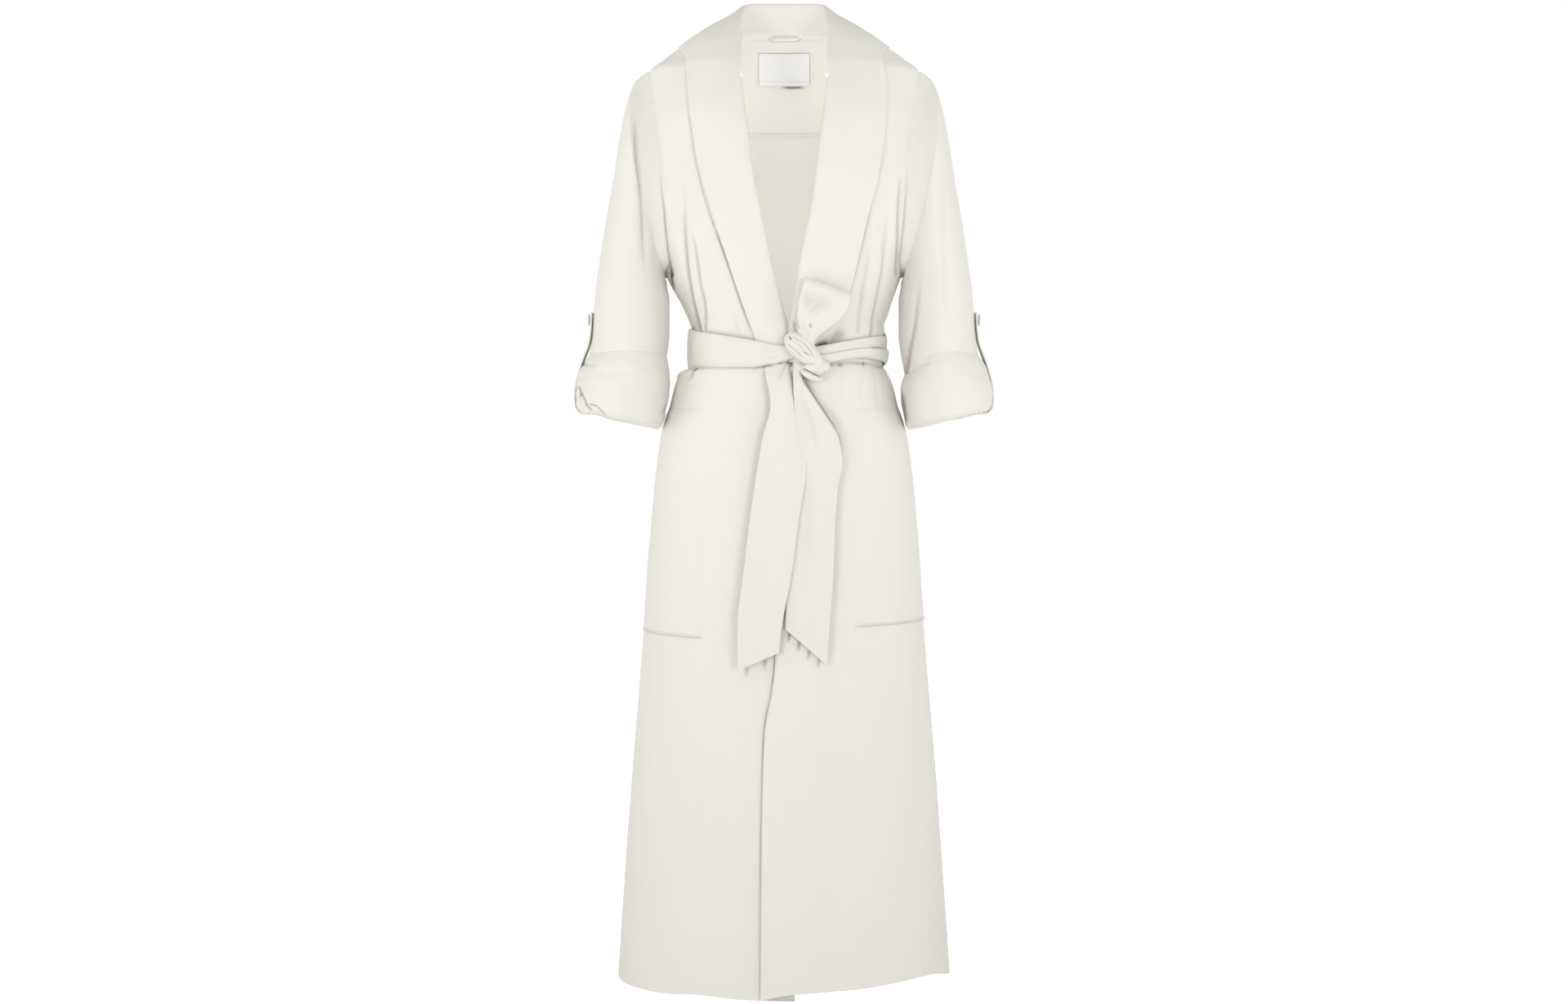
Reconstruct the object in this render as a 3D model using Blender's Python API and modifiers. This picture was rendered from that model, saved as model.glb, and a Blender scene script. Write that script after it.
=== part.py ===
"""Long wrap coat, hollow as worn: shawl collar, rolled sleeves under tabs, self belt tied in a half bow.

Frame: +Z up, the front faces -Y, +X is the wearer's left. The origin is in the middle of the neck at the
height of the nape seam. Lengths are in millimetres until a mesh is made, which is in metres.
"""

import math

import bpy
from mathutils import Vector

MM = 0.001

# ---------------------------------------------------------------- driving sizes

CLOTH = 1.6  # wall of a body panel and a sleeve
DOUBLE = 1.8  # wall of the doubled collar
BAND = 2.2  # wall of the belt
SEAM = 0.3  # space between two pieces at a seam
CLEAR = 0.8  # space between a panel and what lies on it
TIP_SPACE = 0.9  # how far each panel is drawn back at the shoulder tip

HEM = -1194.0
UNDERARM = -317.0
YOKE_SEAM = -122.0
SHOULDER_TIP = -56.0
NECK = 0.0
COLLAR_END = -430.0
OVERLAP_TOP = -440.0  # the fronts lie on each other below this height


class Table:
    """Rows of numbers with named columns; at() reads a column smoothly along the first one."""

    def __init__(self, columns, rows):
        self.columns = columns
        self.rows = sorted(rows)

    def at(self, name, key):
        """The column's value at key, from a cubic whose slopes never overshoot the rows."""
        n = self.columns.index(name)
        keys = [row[0] for row in self.rows]
        vals = [row[n] for row in self.rows]
        if key <= keys[0]:
            return vals[0]
        if key >= keys[-1]:
            return vals[-1]
        i = max(k for k in range(len(keys) - 1) if keys[k] <= key)
        span = keys[i + 1] - keys[i]
        slopes = [(vals[k + 1] - vals[k]) / (keys[k + 1] - keys[k]) for k in range(len(keys) - 1)]

        def tangent(k):
            if k == 0:
                return slopes[0]
            if k == len(keys) - 1:
                return slopes[-1]
            before, after = slopes[k - 1], slopes[k]
            if before * after <= 0:
                return 0.0
            return 2 * before * after / (before + after)

        t = (key - keys[i]) / span
        return (
            (2 * t**3 - 3 * t**2 + 1) * vals[i]
            + (t**3 - 2 * t**2 + t) * span * tangent(i)
            + (-2 * t**3 + 3 * t**2) * vals[i + 1]
            + (t**3 - t**2) * span * tangent(i + 1)
        )


# the coat's outer face at each height: the middle and half of its width, how far back its side line
# lies, and its front and back; power is the squareness of the ring
BODY = Table(
    ("height", "middle_x", "half_width", "side_y", "front_y", "back_y", "power"),
    [
        (0, 0, 62, 16, 4, 75, 2.0),
        (-5, 0, 89, 16, -2, 79, 1.9),
        (-15, 0, 111, 16, -12, 84, 1.8),
        (-29, 0, 138, 15, -24, 89, 1.8),
        (-39, 0, 150.5, 14, -33, 92, 1.8),
        (-56, 0, 170, 12, -47, 96, 1.8),
        (-90, 0, 172, 10, -66, 101, 1.9),
        (-122, 0, 172, 8, -80, 104, 2.0),
        (-160, 0, 173, 6, -92, 106, 2.0),
        (-200, 0, 173, 5, -101, 106, 2.1),
        (-240, 0, 171, 4, -107, 105, 2.1),
        (-262, 0, 167, 3, -109, 103, 2.1),
        (-285, 0, 158, 2, -110, 101, 2.2),
        (-300, 0, 151, 1, -110, 99, 2.2),
        (-317, 0, 147, 0, -109, 98, 2.2),
        (-348, 2.6, 133.5, 0, -105, 94, 2.2),
        (-368, 4, 125.5, 0, -101, 89, 2.2),
        (-378, 4.6, 121, 0, -99.5, 87, 2.2),
        (-402, 4.2, 120.4, 0, -99, 86.5, 2.2),
        (-430, 3.4, 120.4, 0, -99.5, 87, 2.2),
        (-438, 0.5, 129, 0, -102, 91.5, 2.2),
        (-451, 0, 136, 0, -104, 97, 2.2),
        (-480, 0, 143.5, 0, -107, 106, 2.2),
        (-513, 0, 153, 0, -110, 114, 2.2),
        (-575, 0, 161.5, 0, -116, 123, 2.2),
        (-678, 0, 170.5, 0, -126, 130, 2.2),
        (-760, 0, 176.5, 0, -133, 134, 2.2),
        (-925, 0, 190, 0, -147, 143, 2.2),
        (-1090, 0, 202, 0, -161, 151, 2.2),
        (-1194, 0, 209, 0, -171, 156, 2.2),
    ],
)

# where the armhole seam crosses each height, in degrees round the body from its centre line
ARMHOLE = Table(
    ("height", "turn"),
    [
        (-317, 90),
        (-308, 77),
        (-292, 68),
        (-270, 62),
        (-240, 60),
        (-205, 61),
        (-170, 63),
        (-145, 65.5),
        (-122, 69),
        (-100, 73),
        (-78, 79),
        (-56, 90),
    ],
)

SKIRT_LEVELS = [HEM, -1145, -1060, -970, -880, -835, -790, -700, -630, -575, -530, -492, -462]
SKIRT_LEVELS += [-442, -430, -414, -392, -374, -358, -338, -317]
ARM_LEVELS = [-308, -292, -270, -240, -205, -170, -145, -122, -100, -78, -56]
SHOULDER_LEVELS = [-44, -32, -20, -9, -3]

# soft folds of the body panels: x and height of both ends of a valley, its half-width and its depth
FOLDS = [
    {"x": (-119, -123), "z": (-120, -372), "wide": 11, "deep": 3.2},
    {"x": (-104, -92), "z": (-250, -376), "wide": 9, "deep": 2.6},
    {"x": (108, 90), "z": (-270, -380), "wide": 9, "deep": 2.6},
    {"x": (132, 108), "z": (-200, -384), "wide": 10, "deep": 3.0},
    {"x": (-70, -100), "z": (-450, -760), "wide": 16, "deep": 2.0},
    {"x": (84, 110), "z": (-450, -800), "wide": 16, "deep": 2.0},
]
BACK_FOLDS = [
    {"x": (-96, -78), "z": (-180, -385), "wide": 14, "deep": 3.0},
    {"x": (98, 76), "z": (-190, -385), "wide": 14, "deep": 3.0},
    {"x": (-40, -60), "z": (-430, -800), "wide": 18, "deep": 3.0},
    {"x": (44, 66), "z": (-430, -860), "wide": 18, "deep": 3.0},
]


def clamp(value, low, high):
    return max(low, min(high, value))


def ease(value):
    """0 to 1 smoothly as value goes from 0 to 1."""
    t = clamp(value, 0.0, 1.0)
    return t * t * (3 - 2 * t)


def mix(a, b, t):
    return a + (b - a) * t


def fold_depth(x, height, folds):
    """How far the folds pull the face in at this place."""
    total = 0.0
    for fold in folds:
        top, bottom = fold["z"]
        t = (height - top) / (bottom - top)
        if t <= 0 or t >= 1:
            continue
        middle = mix(fold["x"][0], fold["x"][1], t)
        fade = math.sin(math.pi * t) ** 0.5
        total += fold["deep"] * fade * math.exp(-(((x - middle) / fold["wide"]) ** 2))
    return total


def ring(turn, height, level=None):
    """Point of the smooth body at turn degrees (0 front, 90 wearer's left, 180 back) and this height."""
    level = height if level is None else level
    power = 2 / BODY.at("power", level)
    sine = math.sin(math.radians(turn))
    cosine = math.cos(math.radians(turn))
    side_y = BODY.at("side_y", level)
    reach = BODY.at("front_y" if cosine >= 0 else "back_y", level) - side_y
    x = math.copysign(abs(sine) ** power, sine) * BODY.at("half_width", level)
    return Vector((BODY.at("middle_x", level) + x, side_y + reach * abs(cosine) ** power, height))


def ring_normal(turn, height):
    """The smooth body's outward normal."""
    low = max(height - 1.0, HEM)
    high = min(height + 1.0, NECK)
    across = ring(turn + 1, height) - ring(turn - 1, height)
    up = ring(turn, high) - ring(turn, low)
    return across.cross(up).normalized()


def torso(turn, height, out=0.0):
    """Point of the coat's outer face, with its folds, moved out by out."""
    point = ring(turn, height)
    front = math.cos(math.radians(turn)) >= 0
    depth = fold_depth(point.x, height, FOLDS if front else BACK_FOLDS)
    return point + ring_normal(turn, height) * (out - depth)


def front_turn(x, height):
    """The turn at which the front has this x."""
    x -= BODY.at("middle_x", height)
    share = clamp(abs(x) / BODY.at("half_width", height), 0.0, 1.0)
    angle = math.degrees(math.asin(share ** (BODY.at("power", height) / 2)))
    return math.copysign(angle, x)


def on_front(x, height, out=0.0):
    return torso(front_turn(x, height), height, out)


# ---------------------------------------------------------------- fronts, edges and roll lines

# x of each roll line and front edge, and of the fall's outer edge; SIDE is -1 on the wearer's right
COLLAR = {
    -1: Table(
        ("height", "roll_x", "edge_height", "edge_x"),
        [
            (-17, 55.8, -40, 124.5),
            (-50, 54.8, -68, 121.0),
            (-77, 53.4, -90, 118.5),
            (-108, 50.5, -118, 115.5),
            (-139, 46.2, -148, 111.0),
            (-169, 43.0, -178, 106.0),
            (-199, 38.9, -209, 98.5),
            (-228, 33.5, -240, 88.8),
            (-258, 27.3, -270, 79.5),
            (-283, 22.5, -296, 70.5),
            (-308, 17.4, -322, 62.0),
            (-339, 8.9, -352, 51.5),
            (-362, 3.0, -376, 43.0),
            (-386, -2.5, -398, 35.0),
            (-410, -2.0, -418, 29.0),
            (-430, -2.0, -434, 25.0),
        ],
    ),
    1: Table(
        ("height", "roll_x", "edge_height", "edge_x"),
        [
            (-17, 56.2, -40, 124.0),
            (-50, 55.3, -70, 126.5),
            (-77, 54.0, -92, 128.0),
            (-108, 51.5, -120, 127.0),
            (-139, 47.8, -152, 123.0),
            (-169, 44.0, -183, 118.0),
            (-199, 40.3, -214, 112.0),
            (-228, 36.8, -245, 103.0),
            (-258, 31.0, -275, 95.5),
            (-283, 25.5, -300, 89.5),
            (-308, 20.5, -326, 83.5),
            (-339, 15.7, -356, 75.0),
            (-362, 11.5, -380, 66.0),
            (-386, 6.5, -400, 57.0),
            (-410, 7.0, -420, 50.0),
            (-430, 7.5, -434, 46.0),
        ],
    ),
}

# below the collar: x of each front's own edge (wearer's right is the under front)
EDGE_BELOW = {
    -1: Table(("height", "x"), [(-440, 2), (-500, 10), (-600, 11), (-900, 12), (-1194, 13)]),
    1: Table(
        ("height", "x"),
        [
            (-440, 7),
            (-500, -1),
            (-600, -4),
            (-790, -10.8),
            (-835, -14.7),
            (-860, -21.5),
            (-940, -25.4),
            (-1194, -28),
        ],
    ),
}
ROLL_INSET = 2.4  # a panel's edge lies this far inside the roll that wraps it

# how far the hem rises from HEM with x, on each front
HEM_RISE = {
    -1: Table(("x", "rise"), [(-209, 3), (-195, 1), (-150, 1), (-105, 4), (-50, 1), (13, 0)]),
    1: Table(
        ("x", "rise"),
        [(-28, 1), (13, 8), (50, 10), (90, 11.5), (140, 15), (178, 17), (203, 9), (209, 4)],
    ),
}
HEM_RISE_FROM = -700.0

LAP_STEP = 3.8  # how far the upper front stands out over the under one
LAP_RUN = 25.0  # height over which it comes forward
LAP_X = 60.0  # x up to which the fronts lie on each other
LAP_FADE = 30.0  # width over which the step goes back to nothing


ROLL_TOP = -17.0  # height at which the roll leaves a front for the neck
NECK_CORNER_X = (60.0, 62.0)  # x of a front's edge at the roll's top and at the neck seam


def edge_x(side, height):
    """x of a front's free edge."""
    if height >= ROLL_TOP:
        return side * mix(*NECK_CORNER_X, 1 - height / ROLL_TOP)
    if height >= COLLAR_END:
        return side * (COLLAR[side].at("roll_x", height) + ROLL_INSET)
    if height >= OVERLAP_TOP:
        top = side * (COLLAR[side].at("roll_x", COLLAR_END) + ROLL_INSET)
        share = (COLLAR_END - height) / (COLLAR_END - OVERLAP_TOP)
        return mix(top, EDGE_BELOW[side].at("x", OVERLAP_TOP), share)
    return EDGE_BELOW[side].at("x", height)


def front_layer(side, x, height):
    """How far a front stands out: the wearer's left front lies on the other one."""
    if side < 0:
        return 0.0
    down = ease((OVERLAP_TOP - height) / LAP_RUN)
    return LAP_STEP * down * ease((LAP_X - x) / LAP_FADE)


def hem_shift(side, x, height):
    share = ease((HEM_RISE_FROM - height) / (HEM_RISE_FROM - HEM))
    return HEM_RISE[side].at("rise", x) * share


def side_turn(height):
    """The turn of a front's outer boundary: the side seam, then the armhole, then the shoulder seam."""
    if UNDERARM < height < SHOULDER_TIP:
        return ARMHOLE.at("turn", height)
    return 90.0


def toward(a, b, distance):
    """a moved towards b."""
    step = b - a
    return a + step * (distance / step.length)


# ---------------------------------------------------------------- mesh helpers

parts = bpy.data.collections.new("wrap_coat")


def material(name, colour, roughness):
    made = bpy.data.materials.new(name)
    made.use_nodes = True
    shader = made.node_tree.nodes["Principled BSDF"]
    shader.inputs["Base Color"].default_value = (*colour, 1)
    shader.inputs["Roughness"].default_value = roughness
    return made


def add_mesh(name, points, faces, slot):
    mesh = bpy.data.meshes.new(name)
    mesh.from_pydata([p * MM for p in points], [], faces)
    mesh.materials.append(slot)
    mesh.update()
    made = bpy.data.objects.new(name, mesh)
    parts.objects.link(made)
    mesh.shade_smooth()
    mesh.set_sharp_from_angle(angle=math.radians(50))
    return made


def add_shell(name, grid, thickness, slot, closed=False):
    """An open surface from rows of points, thickened away from the side its faces look to."""
    wide = len(grid[0])
    points = [p for row in grid for p in row]
    faces = []
    for j in range(len(grid) - 1):
        for i in range(wide if closed else wide - 1):
            k = (i + 1) % wide
            faces.append((j * wide + i, j * wide + k, (j + 1) * wide + k, (j + 1) * wide + i))
    made = add_mesh(name, points, faces, slot)
    wall = made.modifiers.new("wall", "SOLIDIFY")
    wall.thickness = thickness * MM
    wall.offset = -1
    wall.use_even_offset = False
    return made


def trim(grid, left=0.0, right=0.0, bottom=0.0, top=0.0):
    """Moves a grid's boundary points in, for the space at a seam."""
    if left:
        for row in grid:
            row[0] = toward(row[0], row[1], left)
    if right:
        for row in grid:
            row[-1] = toward(row[-1], row[-2], right)
    if bottom:
        grid[0] = [toward(a, b, bottom) for a, b in zip(grid[0], grid[1])]
    if top:
        grid[-1] = [toward(a, b, top) for a, b in zip(grid[-1], grid[-2])]
    return grid


def open_tip(grid, levels, ends):
    """Draws a panel back at the shoulder tip, where its inner corners would meet its neighbours'."""
    row = grid[levels.index(SHOULDER_TIP)]
    for end, neighbour in ends:
        row[end] = toward(row[end], row[neighbour], TIP_SPACE)


def spread(count, ends):
    """count + 1 shares from 0 to 1, with a narrow first and last step of the share ends."""
    inner = [ends + (1 - 2 * ends) * i / (count - 2) for i in range(count - 1)]
    return [0.0] + inner + [1.0]


# ---------------------------------------------------------------- body panels


def front_panel(side, name, slot, columns=9):
    grid = []
    levels = SKIRT_LEVELS + ARM_LEVELS + SHOULDER_LEVELS
    for height in levels:
        inner = front_turn(edge_x(side, height), height)
        outer = side * side_turn(height)
        row = []
        for share in spread(columns, 0.03):
            turn = mix(inner, outer, share)
            x = ring(turn, height).x
            place = height + hem_shift(side, x, height)
            out = front_layer(side, x, place)
            row.append(torso(turn, place, out))
        grid.append(row if side > 0 else row[::-1])
    if side > 0:
        trim(grid, right=SEAM / 2)
        open_tip(grid, levels, [(-1, -2)])
    else:
        trim(grid, left=SEAM / 2)
        open_tip(grid, levels, [(0, 1)])
    return add_shell(name, grid, CLOTH, slot)


def back_panel(slot, columns=16):
    levels = [h for h in SKIRT_LEVELS + ARM_LEVELS if h <= YOKE_SEAM]
    grid = []
    for height in levels:
        start = 180 - side_turn(height)
        grid.append([torso(mix(start, 360 - start, s), height) for s in spread(columns, 0.02)])
    trim(grid, left=SEAM / 2, right=SEAM / 2, top=SEAM / 2)
    return add_shell("back", grid, CLOTH, slot)


def back_yoke(slot, columns=16):
    levels = [h for h in ARM_LEVELS + SHOULDER_LEVELS if h >= YOKE_SEAM]
    grid = []
    for height in levels:
        start = 180 - side_turn(height)
        grid.append([torso(mix(start, 360 - start, s), height) for s in spread(columns, 0.02)])
    trim(grid, left=SEAM / 2, right=SEAM / 2, bottom=SEAM / 2, top=SEAM / 2)
    open_tip(grid, levels, [(0, 1), (-1, -2)])
    return add_shell("back_yoke", grid, CLOTH, slot)


# ---------------------------------------------------------------- collar

# the stand and roll round the neck, from the centre back to the side: places of the roll and of the
# stand's foot, and the turn and height where the fall's edge lies on the body
NECK_STATIONS = [
    {"roll": (0, 79, 42), "foot": (0, 73.2, 0.3), "edge": (180, -30)},
    {"roll": (20, 77, 41.5), "foot": (22, 69.2, 0.3), "edge": (168, -30)},
    {"roll": (40, 69, 39.5), "foot": (42, 57.6, 0.3), "edge": (155, -30)},
    {"roll": (50.5, 56, 35), "foot": (53, 42, 0.3), "edge": (139, -29)},
    {"roll": (53.5, 41, 27), "foot": (57, 28, 0.0), "edge": (121, -27)},
    {"roll": (55, 27, 18), "foot": (58, 17, -3.0), "edge": (104, -25)},
    {"roll": (55.8, 10, 5), "foot": (62, 5, -10), "edge": (88, -26)},
]
LIP = 13.0  # how far the inner lip reaches back under a front
LIP_DEPTH = CLOTH + CLEAR + DOUBLE
FALL_OUT = CLEAR + DOUBLE
FALL_ARCH = 7.0  # how far the fall arches over the neck and shoulder
NECK_FALL_OUT = FALL_OUT + 1.2  # how far the fall's edge stands off the yoke
ROLL_HALF = 1.5  # half the thickness of the roll round the neck
FALL_START = 2.2  # how far from the roll line the fall on a front starts
FALL_STEPS = 4
FALL_LIFT = 2.2  # how far the fall on a front swells between the roll and its edge
ROLL_LIFT = 1.1  # how much more it stands off at the roll than at its edge
ARCH_RUN = 60.0  # height below the roll's top over which the arch over the shoulder dies out
NARROW_RUN = 60.0  # height above the collar's end over which the fall starts to swell


def fall_points(roll, edge, arch):
    """Points from the roll to the edge of the fall, arched along the vector arch."""
    made = []
    for k in range(1, FALL_STEPS + 1):
        t = k / FALL_STEPS
        made.append(roll.lerp(edge, t) + arch * (4 * t * (1 - t)))
    return made


def neck_section(station, side):
    """Section of the collar at a neck station, from the stand's foot over the roll to the fall's edge."""
    roll, foot = Vector(station["roll"]), Vector(station["foot"])
    turn, height = station["edge"]
    edge = torso(turn, height, NECK_FALL_OUT)
    away = (ring_normal(turn, ROLL_TOP) + Vector((0, 0, 0.6))).normalized()
    inner = foot.lerp(roll, 0.55)
    lead = foot.lerp(roll, 0.9)
    points = [foot, inner, lead, roll + away * ROLL_HALF]
    points += fall_points(roll + away * (2 * ROLL_HALF), edge, away * FALL_ARCH)
    return [Vector((side * p.x, p.y, p.z)) for p in points]


def front_section(side, height):
    """Section of the collar on a front, from the lip inside over the roll to the fall's edge."""
    table = COLLAR[side]
    roll_x = side * table.at("roll_x", height)
    edge_height = table.at("edge_height", height)
    edge = side * table.at("edge_x", height)
    fall_x = roll_x + side * FALL_START
    laid = clamp((ROLL_TOP - height) / ARCH_RUN, 0.0, 1.0)
    swell = ease((height - COLLAR_END) / NARROW_RUN)
    points = [
        on_front(roll_x + side * LIP, height - 2, -LIP_DEPTH),
        on_front(roll_x + side * LIP * 0.45, height - 1, -LIP_DEPTH),
        on_front(roll_x + side * 0.6, height, -LIP_DEPTH * 0.72),
        on_front(roll_x, height, 1.0),
    ]
    start = on_front(fall_x, height, FALL_OUT + ROLL_HALF)
    finish = on_front(edge, edge_height, FALL_OUT + ROLL_HALF)
    for k in range(1, FALL_STEPS + 1):
        t = k / FALL_STEPS
        lift = FALL_OUT + 0.5 + swell * (ROLL_LIFT * (1 - t) + FALL_LIFT * math.sin(math.pi * t))
        lift += ROLL_HALF * (1 - laid)
        lying = on_front(mix(fall_x, edge, t), mix(height, edge_height, t), lift)
        arch = Vector((0, -1, 1)) * (FALL_ARCH * 2.4 * t * (1 - t) * (1 - laid))
        arched = start.lerp(finish, t) + arch
        points.append(arched if laid < 1 and arched.y < lying.y else lying)
    return points


COLLAR_SEAM = 0.4  # half the space between the two halves at the centre back


def collar(side, name, slot):
    sections = [neck_section(station, side) for station in NECK_STATIONS]
    sections += [front_section(side, row[0]) for row in reversed(COLLAR[side].rows)]
    sections[0] = [point + Vector((side * COLLAR_SEAM, 0, 0)) for point in sections[0]]
    grid = [section[::-1] for section in sections]
    return add_shell(name, grid if side < 0 else grid[::-1], DOUBLE, slot)


# ---------------------------------------------------------------- sleeves

# the hanging sleeve's tube: x of its inner and outer face, and its middle and half-depth from front to back
SLEEVE = Table(
    ("height", "inner_x", "outer_x", "middle_y", "half_depth"),
    [
        (-56, 158, 176, 12, 12),
        (-64, 157, 182.5, 11, 22),
        (-70, 156, 187.5, 10.5, 27),
        (-82, 155, 192.6, 10, 33),
        (-101, 154, 198, 8, 40),
        (-142, 152, 206, 5, 49),
        (-204, 150, 215.5, 1, 57),
        (-266, 149, 225.5, -4, 61),
        (-327, 148.5, 234, -9, 62),
        (-348, 145.5, 236, -11, 62),
        (-390, 145.5, 238, -16, 61),
        (-427, 150, 243, -21, 58),
        (-465, 155, 247, -26, 55),
        (-500, 160.5, 248, -30, 53),
    ],
)
SLEEVE_END = -474.0
SLEEVE_ROWS = [0.0, 0.008, 0.03, 0.07, 0.12, 0.19, 0.28, 0.38, 0.49, 0.61, 0.73, 0.86, 1.0]
SLEEVE_DROP = 1.3  # power by which the rows of the sleeve's grid draw together at the armhole
SLEEVE_TURN = 0.1  # share of the length over which the cloth turns from the armhole to the hanging tube
SLEEVE_RUN = 260.0  # how far it would run on straight from the armhole over the whole length
ARMHOLE_STEP = 3.0  # degrees inside the armhole from which the cloth's direction is taken
CAP_MIDDLE = (SHOULDER_TIP + UNDERARM) / 2
CAP_HALF = (SHOULDER_TIP - UNDERARM) / 2
ARM_RING = [UNDERARM] + ARM_LEVELS


def sleeve_point(side, around, height, out=0.0):
    """Point of the sleeve's tube: around is 0 on the outer side, 90 in front, 180 next to the body."""
    inner, outer = SLEEVE.at("inner_x", height), SLEEVE.at("outer_x", height)
    angle = math.radians(around)
    half = (outer - inner) / 2 + out
    deep = SLEEVE.at("half_depth", height) + out
    x = (inner + outer) / 2 + half * math.cos(angle)
    return Vector((side * x, SLEEVE.at("middle_y", height) - deep * math.sin(angle), height))


def armhole_ring(side):
    """The armhole seam as (around, point, direction away from the body), from the top round the front."""
    found = []
    for height in ARM_RING[::-1]:
        around = math.degrees(math.acos(clamp((height - CAP_MIDDLE) / CAP_HALF, -1.0, 1.0)))
        found.append((around, height, 1))
    for height in ARM_RING[1:-1]:
        around = 360 - math.degrees(math.acos(clamp((height - CAP_MIDDLE) / CAP_HALF, -1.0, 1.0)))
        found.append((around, height, -1))
    made = []
    for around, height, face in found:
        turn = side_turn(height) if UNDERARM < height < SHOULDER_TIP else 90.0
        inside = turn - ARMHOLE_STEP
        if face < 0:
            turn, inside = 180 - turn, 180 - inside
        if height == UNDERARM:
            point = torso(side * 90, height)
            away = Vector((side * 0.8, 0, 0.6))
        else:
            point = torso(side * turn, height)
            away = (point - torso(side * inside, height)).normalized()
        if height == SHOULDER_TIP:
            away = Vector((side * 0.8, 0, -0.6))
        made.append((around, point, away))
    return made


def sleeve(side, name, slot):
    ring_points = armhole_ring(side)
    grid = []
    for share in SLEEVE_ROWS:
        row = []
        for around, point, away in ring_points:
            height = mix(point.z, SLEEVE_END, share**SLEEVE_DROP)
            hang = sleeve_point(side, around, height)
            join = 1 - (1 - clamp(share / SLEEVE_TURN, 0.0, 1.0)) ** 2
            start = point + away * (SEAM + SLEEVE_RUN * share)
            if share > SLEEVE_ROWS[1]:
                start.z = mix(start.z, height, 0.5)
            row.append(start.lerp(hang, join))
        grid.append(row)
    if side > 0:
        grid = [row[::-1] for row in grid]
    return add_shell(name, grid, CLOTH, slot, closed=True)


# section of the turned-up cuff, from the layer inside the sleeve round the fold to the turned-up edge:
# how far it stands off the sleeve, and the share of its height above the fold
CUFF_TOP = -427.0
CUFF_FOLD = -497.0
CUFF_TILT = 11.0  # how far the fold rises on the outer side and falls next to the body
CUFF_SECTION = [
    {"out": -4.6, "share": 0.42},
    {"out": -4.8, "share": 0.14},
    {"out": -2.4, "share": 0.03},
    {"out": 2.5, "share": 0.0},
    {"out": 7.2, "share": 0.06},
    {"out": 9.6, "share": 0.25},
    {"out": 9.6, "share": 0.6},
    {"out": 7.0, "share": 1.0},
]
CUFF_WALL = 2.4
CUFF_SIDES = 24


def cuff_height(around, share):
    fold = CUFF_FOLD + CUFF_TILT * math.cos(math.radians(around))
    return mix(fold, CUFF_TOP, share)


def cuff(side, name, slot):
    grid = []
    for row in CUFF_SECTION:
        around = [360 * k / CUFF_SIDES for k in range(CUFF_SIDES)]
        grid.append([sleeve_point(side, a, cuff_height(a, row["share"]), row["out"]) for a in around])
    if side < 0:
        grid = [row[::-1] for row in grid]
    return add_shell(name, grid, CUFF_WALL, slot, closed=True)


# route of a roll tab over its cuff: how far it stands off the sleeve, and its height
TAB_ROUTE = [
    {"out": 6.4, "height": -362},
    {"out": 6.6, "height": -384},
    {"out": 8.0, "height": -405},
    {"out": 13.4, "height": -424},
    {"out": 15.2, "height": -450},
    {"out": 15.2, "height": -472},
    {"out": 13.0, "height": -484},
    {"out": 5.0, "height": -491.5},
    {"out": -3.0, "height": -491.0},
]
TAB_HALF = 14.0
TAB_WALL = 2.4
TAB_BOW = 0.7  # how far the tab's long edges lie back from its middle
TAB_LINES = (-1, -0.34, 0.34, 1)


def tab(side, name, slot):
    grid = []
    for stop in TAB_ROUTE:
        row = []
        for across in TAB_LINES:
            point = sleeve_point(side, 0, stop["height"], stop["out"])
            y = point.y + across * TAB_HALF
            row.append(Vector((point.x - side * TAB_BOW * across**2, y, point.z)))
        grid.append(row)
    if side > 0:
        grid = grid[::-1]
    return add_shell(name, grid, TAB_WALL, slot)


BUTTON_PLACE = -372.0  # height of its middle
BUTTON_OUT = 6.8  # how far its flat face stands off the sleeve
BUTTON_SIDES = 16
# the button's section as (radius, height) from its flat face over the rim to the dished middle
BUTTON_SECTION = [
    (0.01, 0.0),
    (6.6, 0.0),
    (7.5, 0.6),
    (7.5, 1.6),
    (6.8, 2.2),
    (5.6, 1.9),
    (4.8, 1.4),
    (0.01, 1.4),
]


def button(side, name, slot):
    """A low turned disc with a rim, lying flat on the tab."""
    place = sleeve_point(side, 0, BUTTON_PLACE, BUTTON_OUT)
    mesh = bpy.data.meshes.new(name)
    corners = [Vector((radius, 0, height)) * MM for radius, height in reversed(BUTTON_SECTION)]
    mesh.from_pydata(corners, [(k, k + 1) for k in range(len(corners) - 1)], [])
    mesh.materials.append(slot)
    made = bpy.data.objects.new(name, mesh)
    parts.objects.link(made)
    turned = made.modifiers.new("turned", "SCREW")
    turned.steps = BUTTON_SIDES
    turned.render_steps = BUTTON_SIDES
    turned.use_merge_vertices = True
    turned.merge_threshold = 0.00005
    made.location = place * MM
    made.rotation_euler = (0, side * math.pi / 2, 0)
    return made


# ---------------------------------------------------------------- pockets, loop and label

POCKET_TOP = -487.0
POCKET_BOTTOM = {-1: -766.0, 1: -752.0}
POCKET_EDGE_X = {-1: -91.0, 1: 76.0}
POCKET_OUT = CLEAR + 0.5 + CLOTH
POCKET_SIDE = 89.0  # the turn at which it is caught in the side seam
POCKET_SLOPE = 6.0  # how much higher the pocket sits at the side seam


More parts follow.
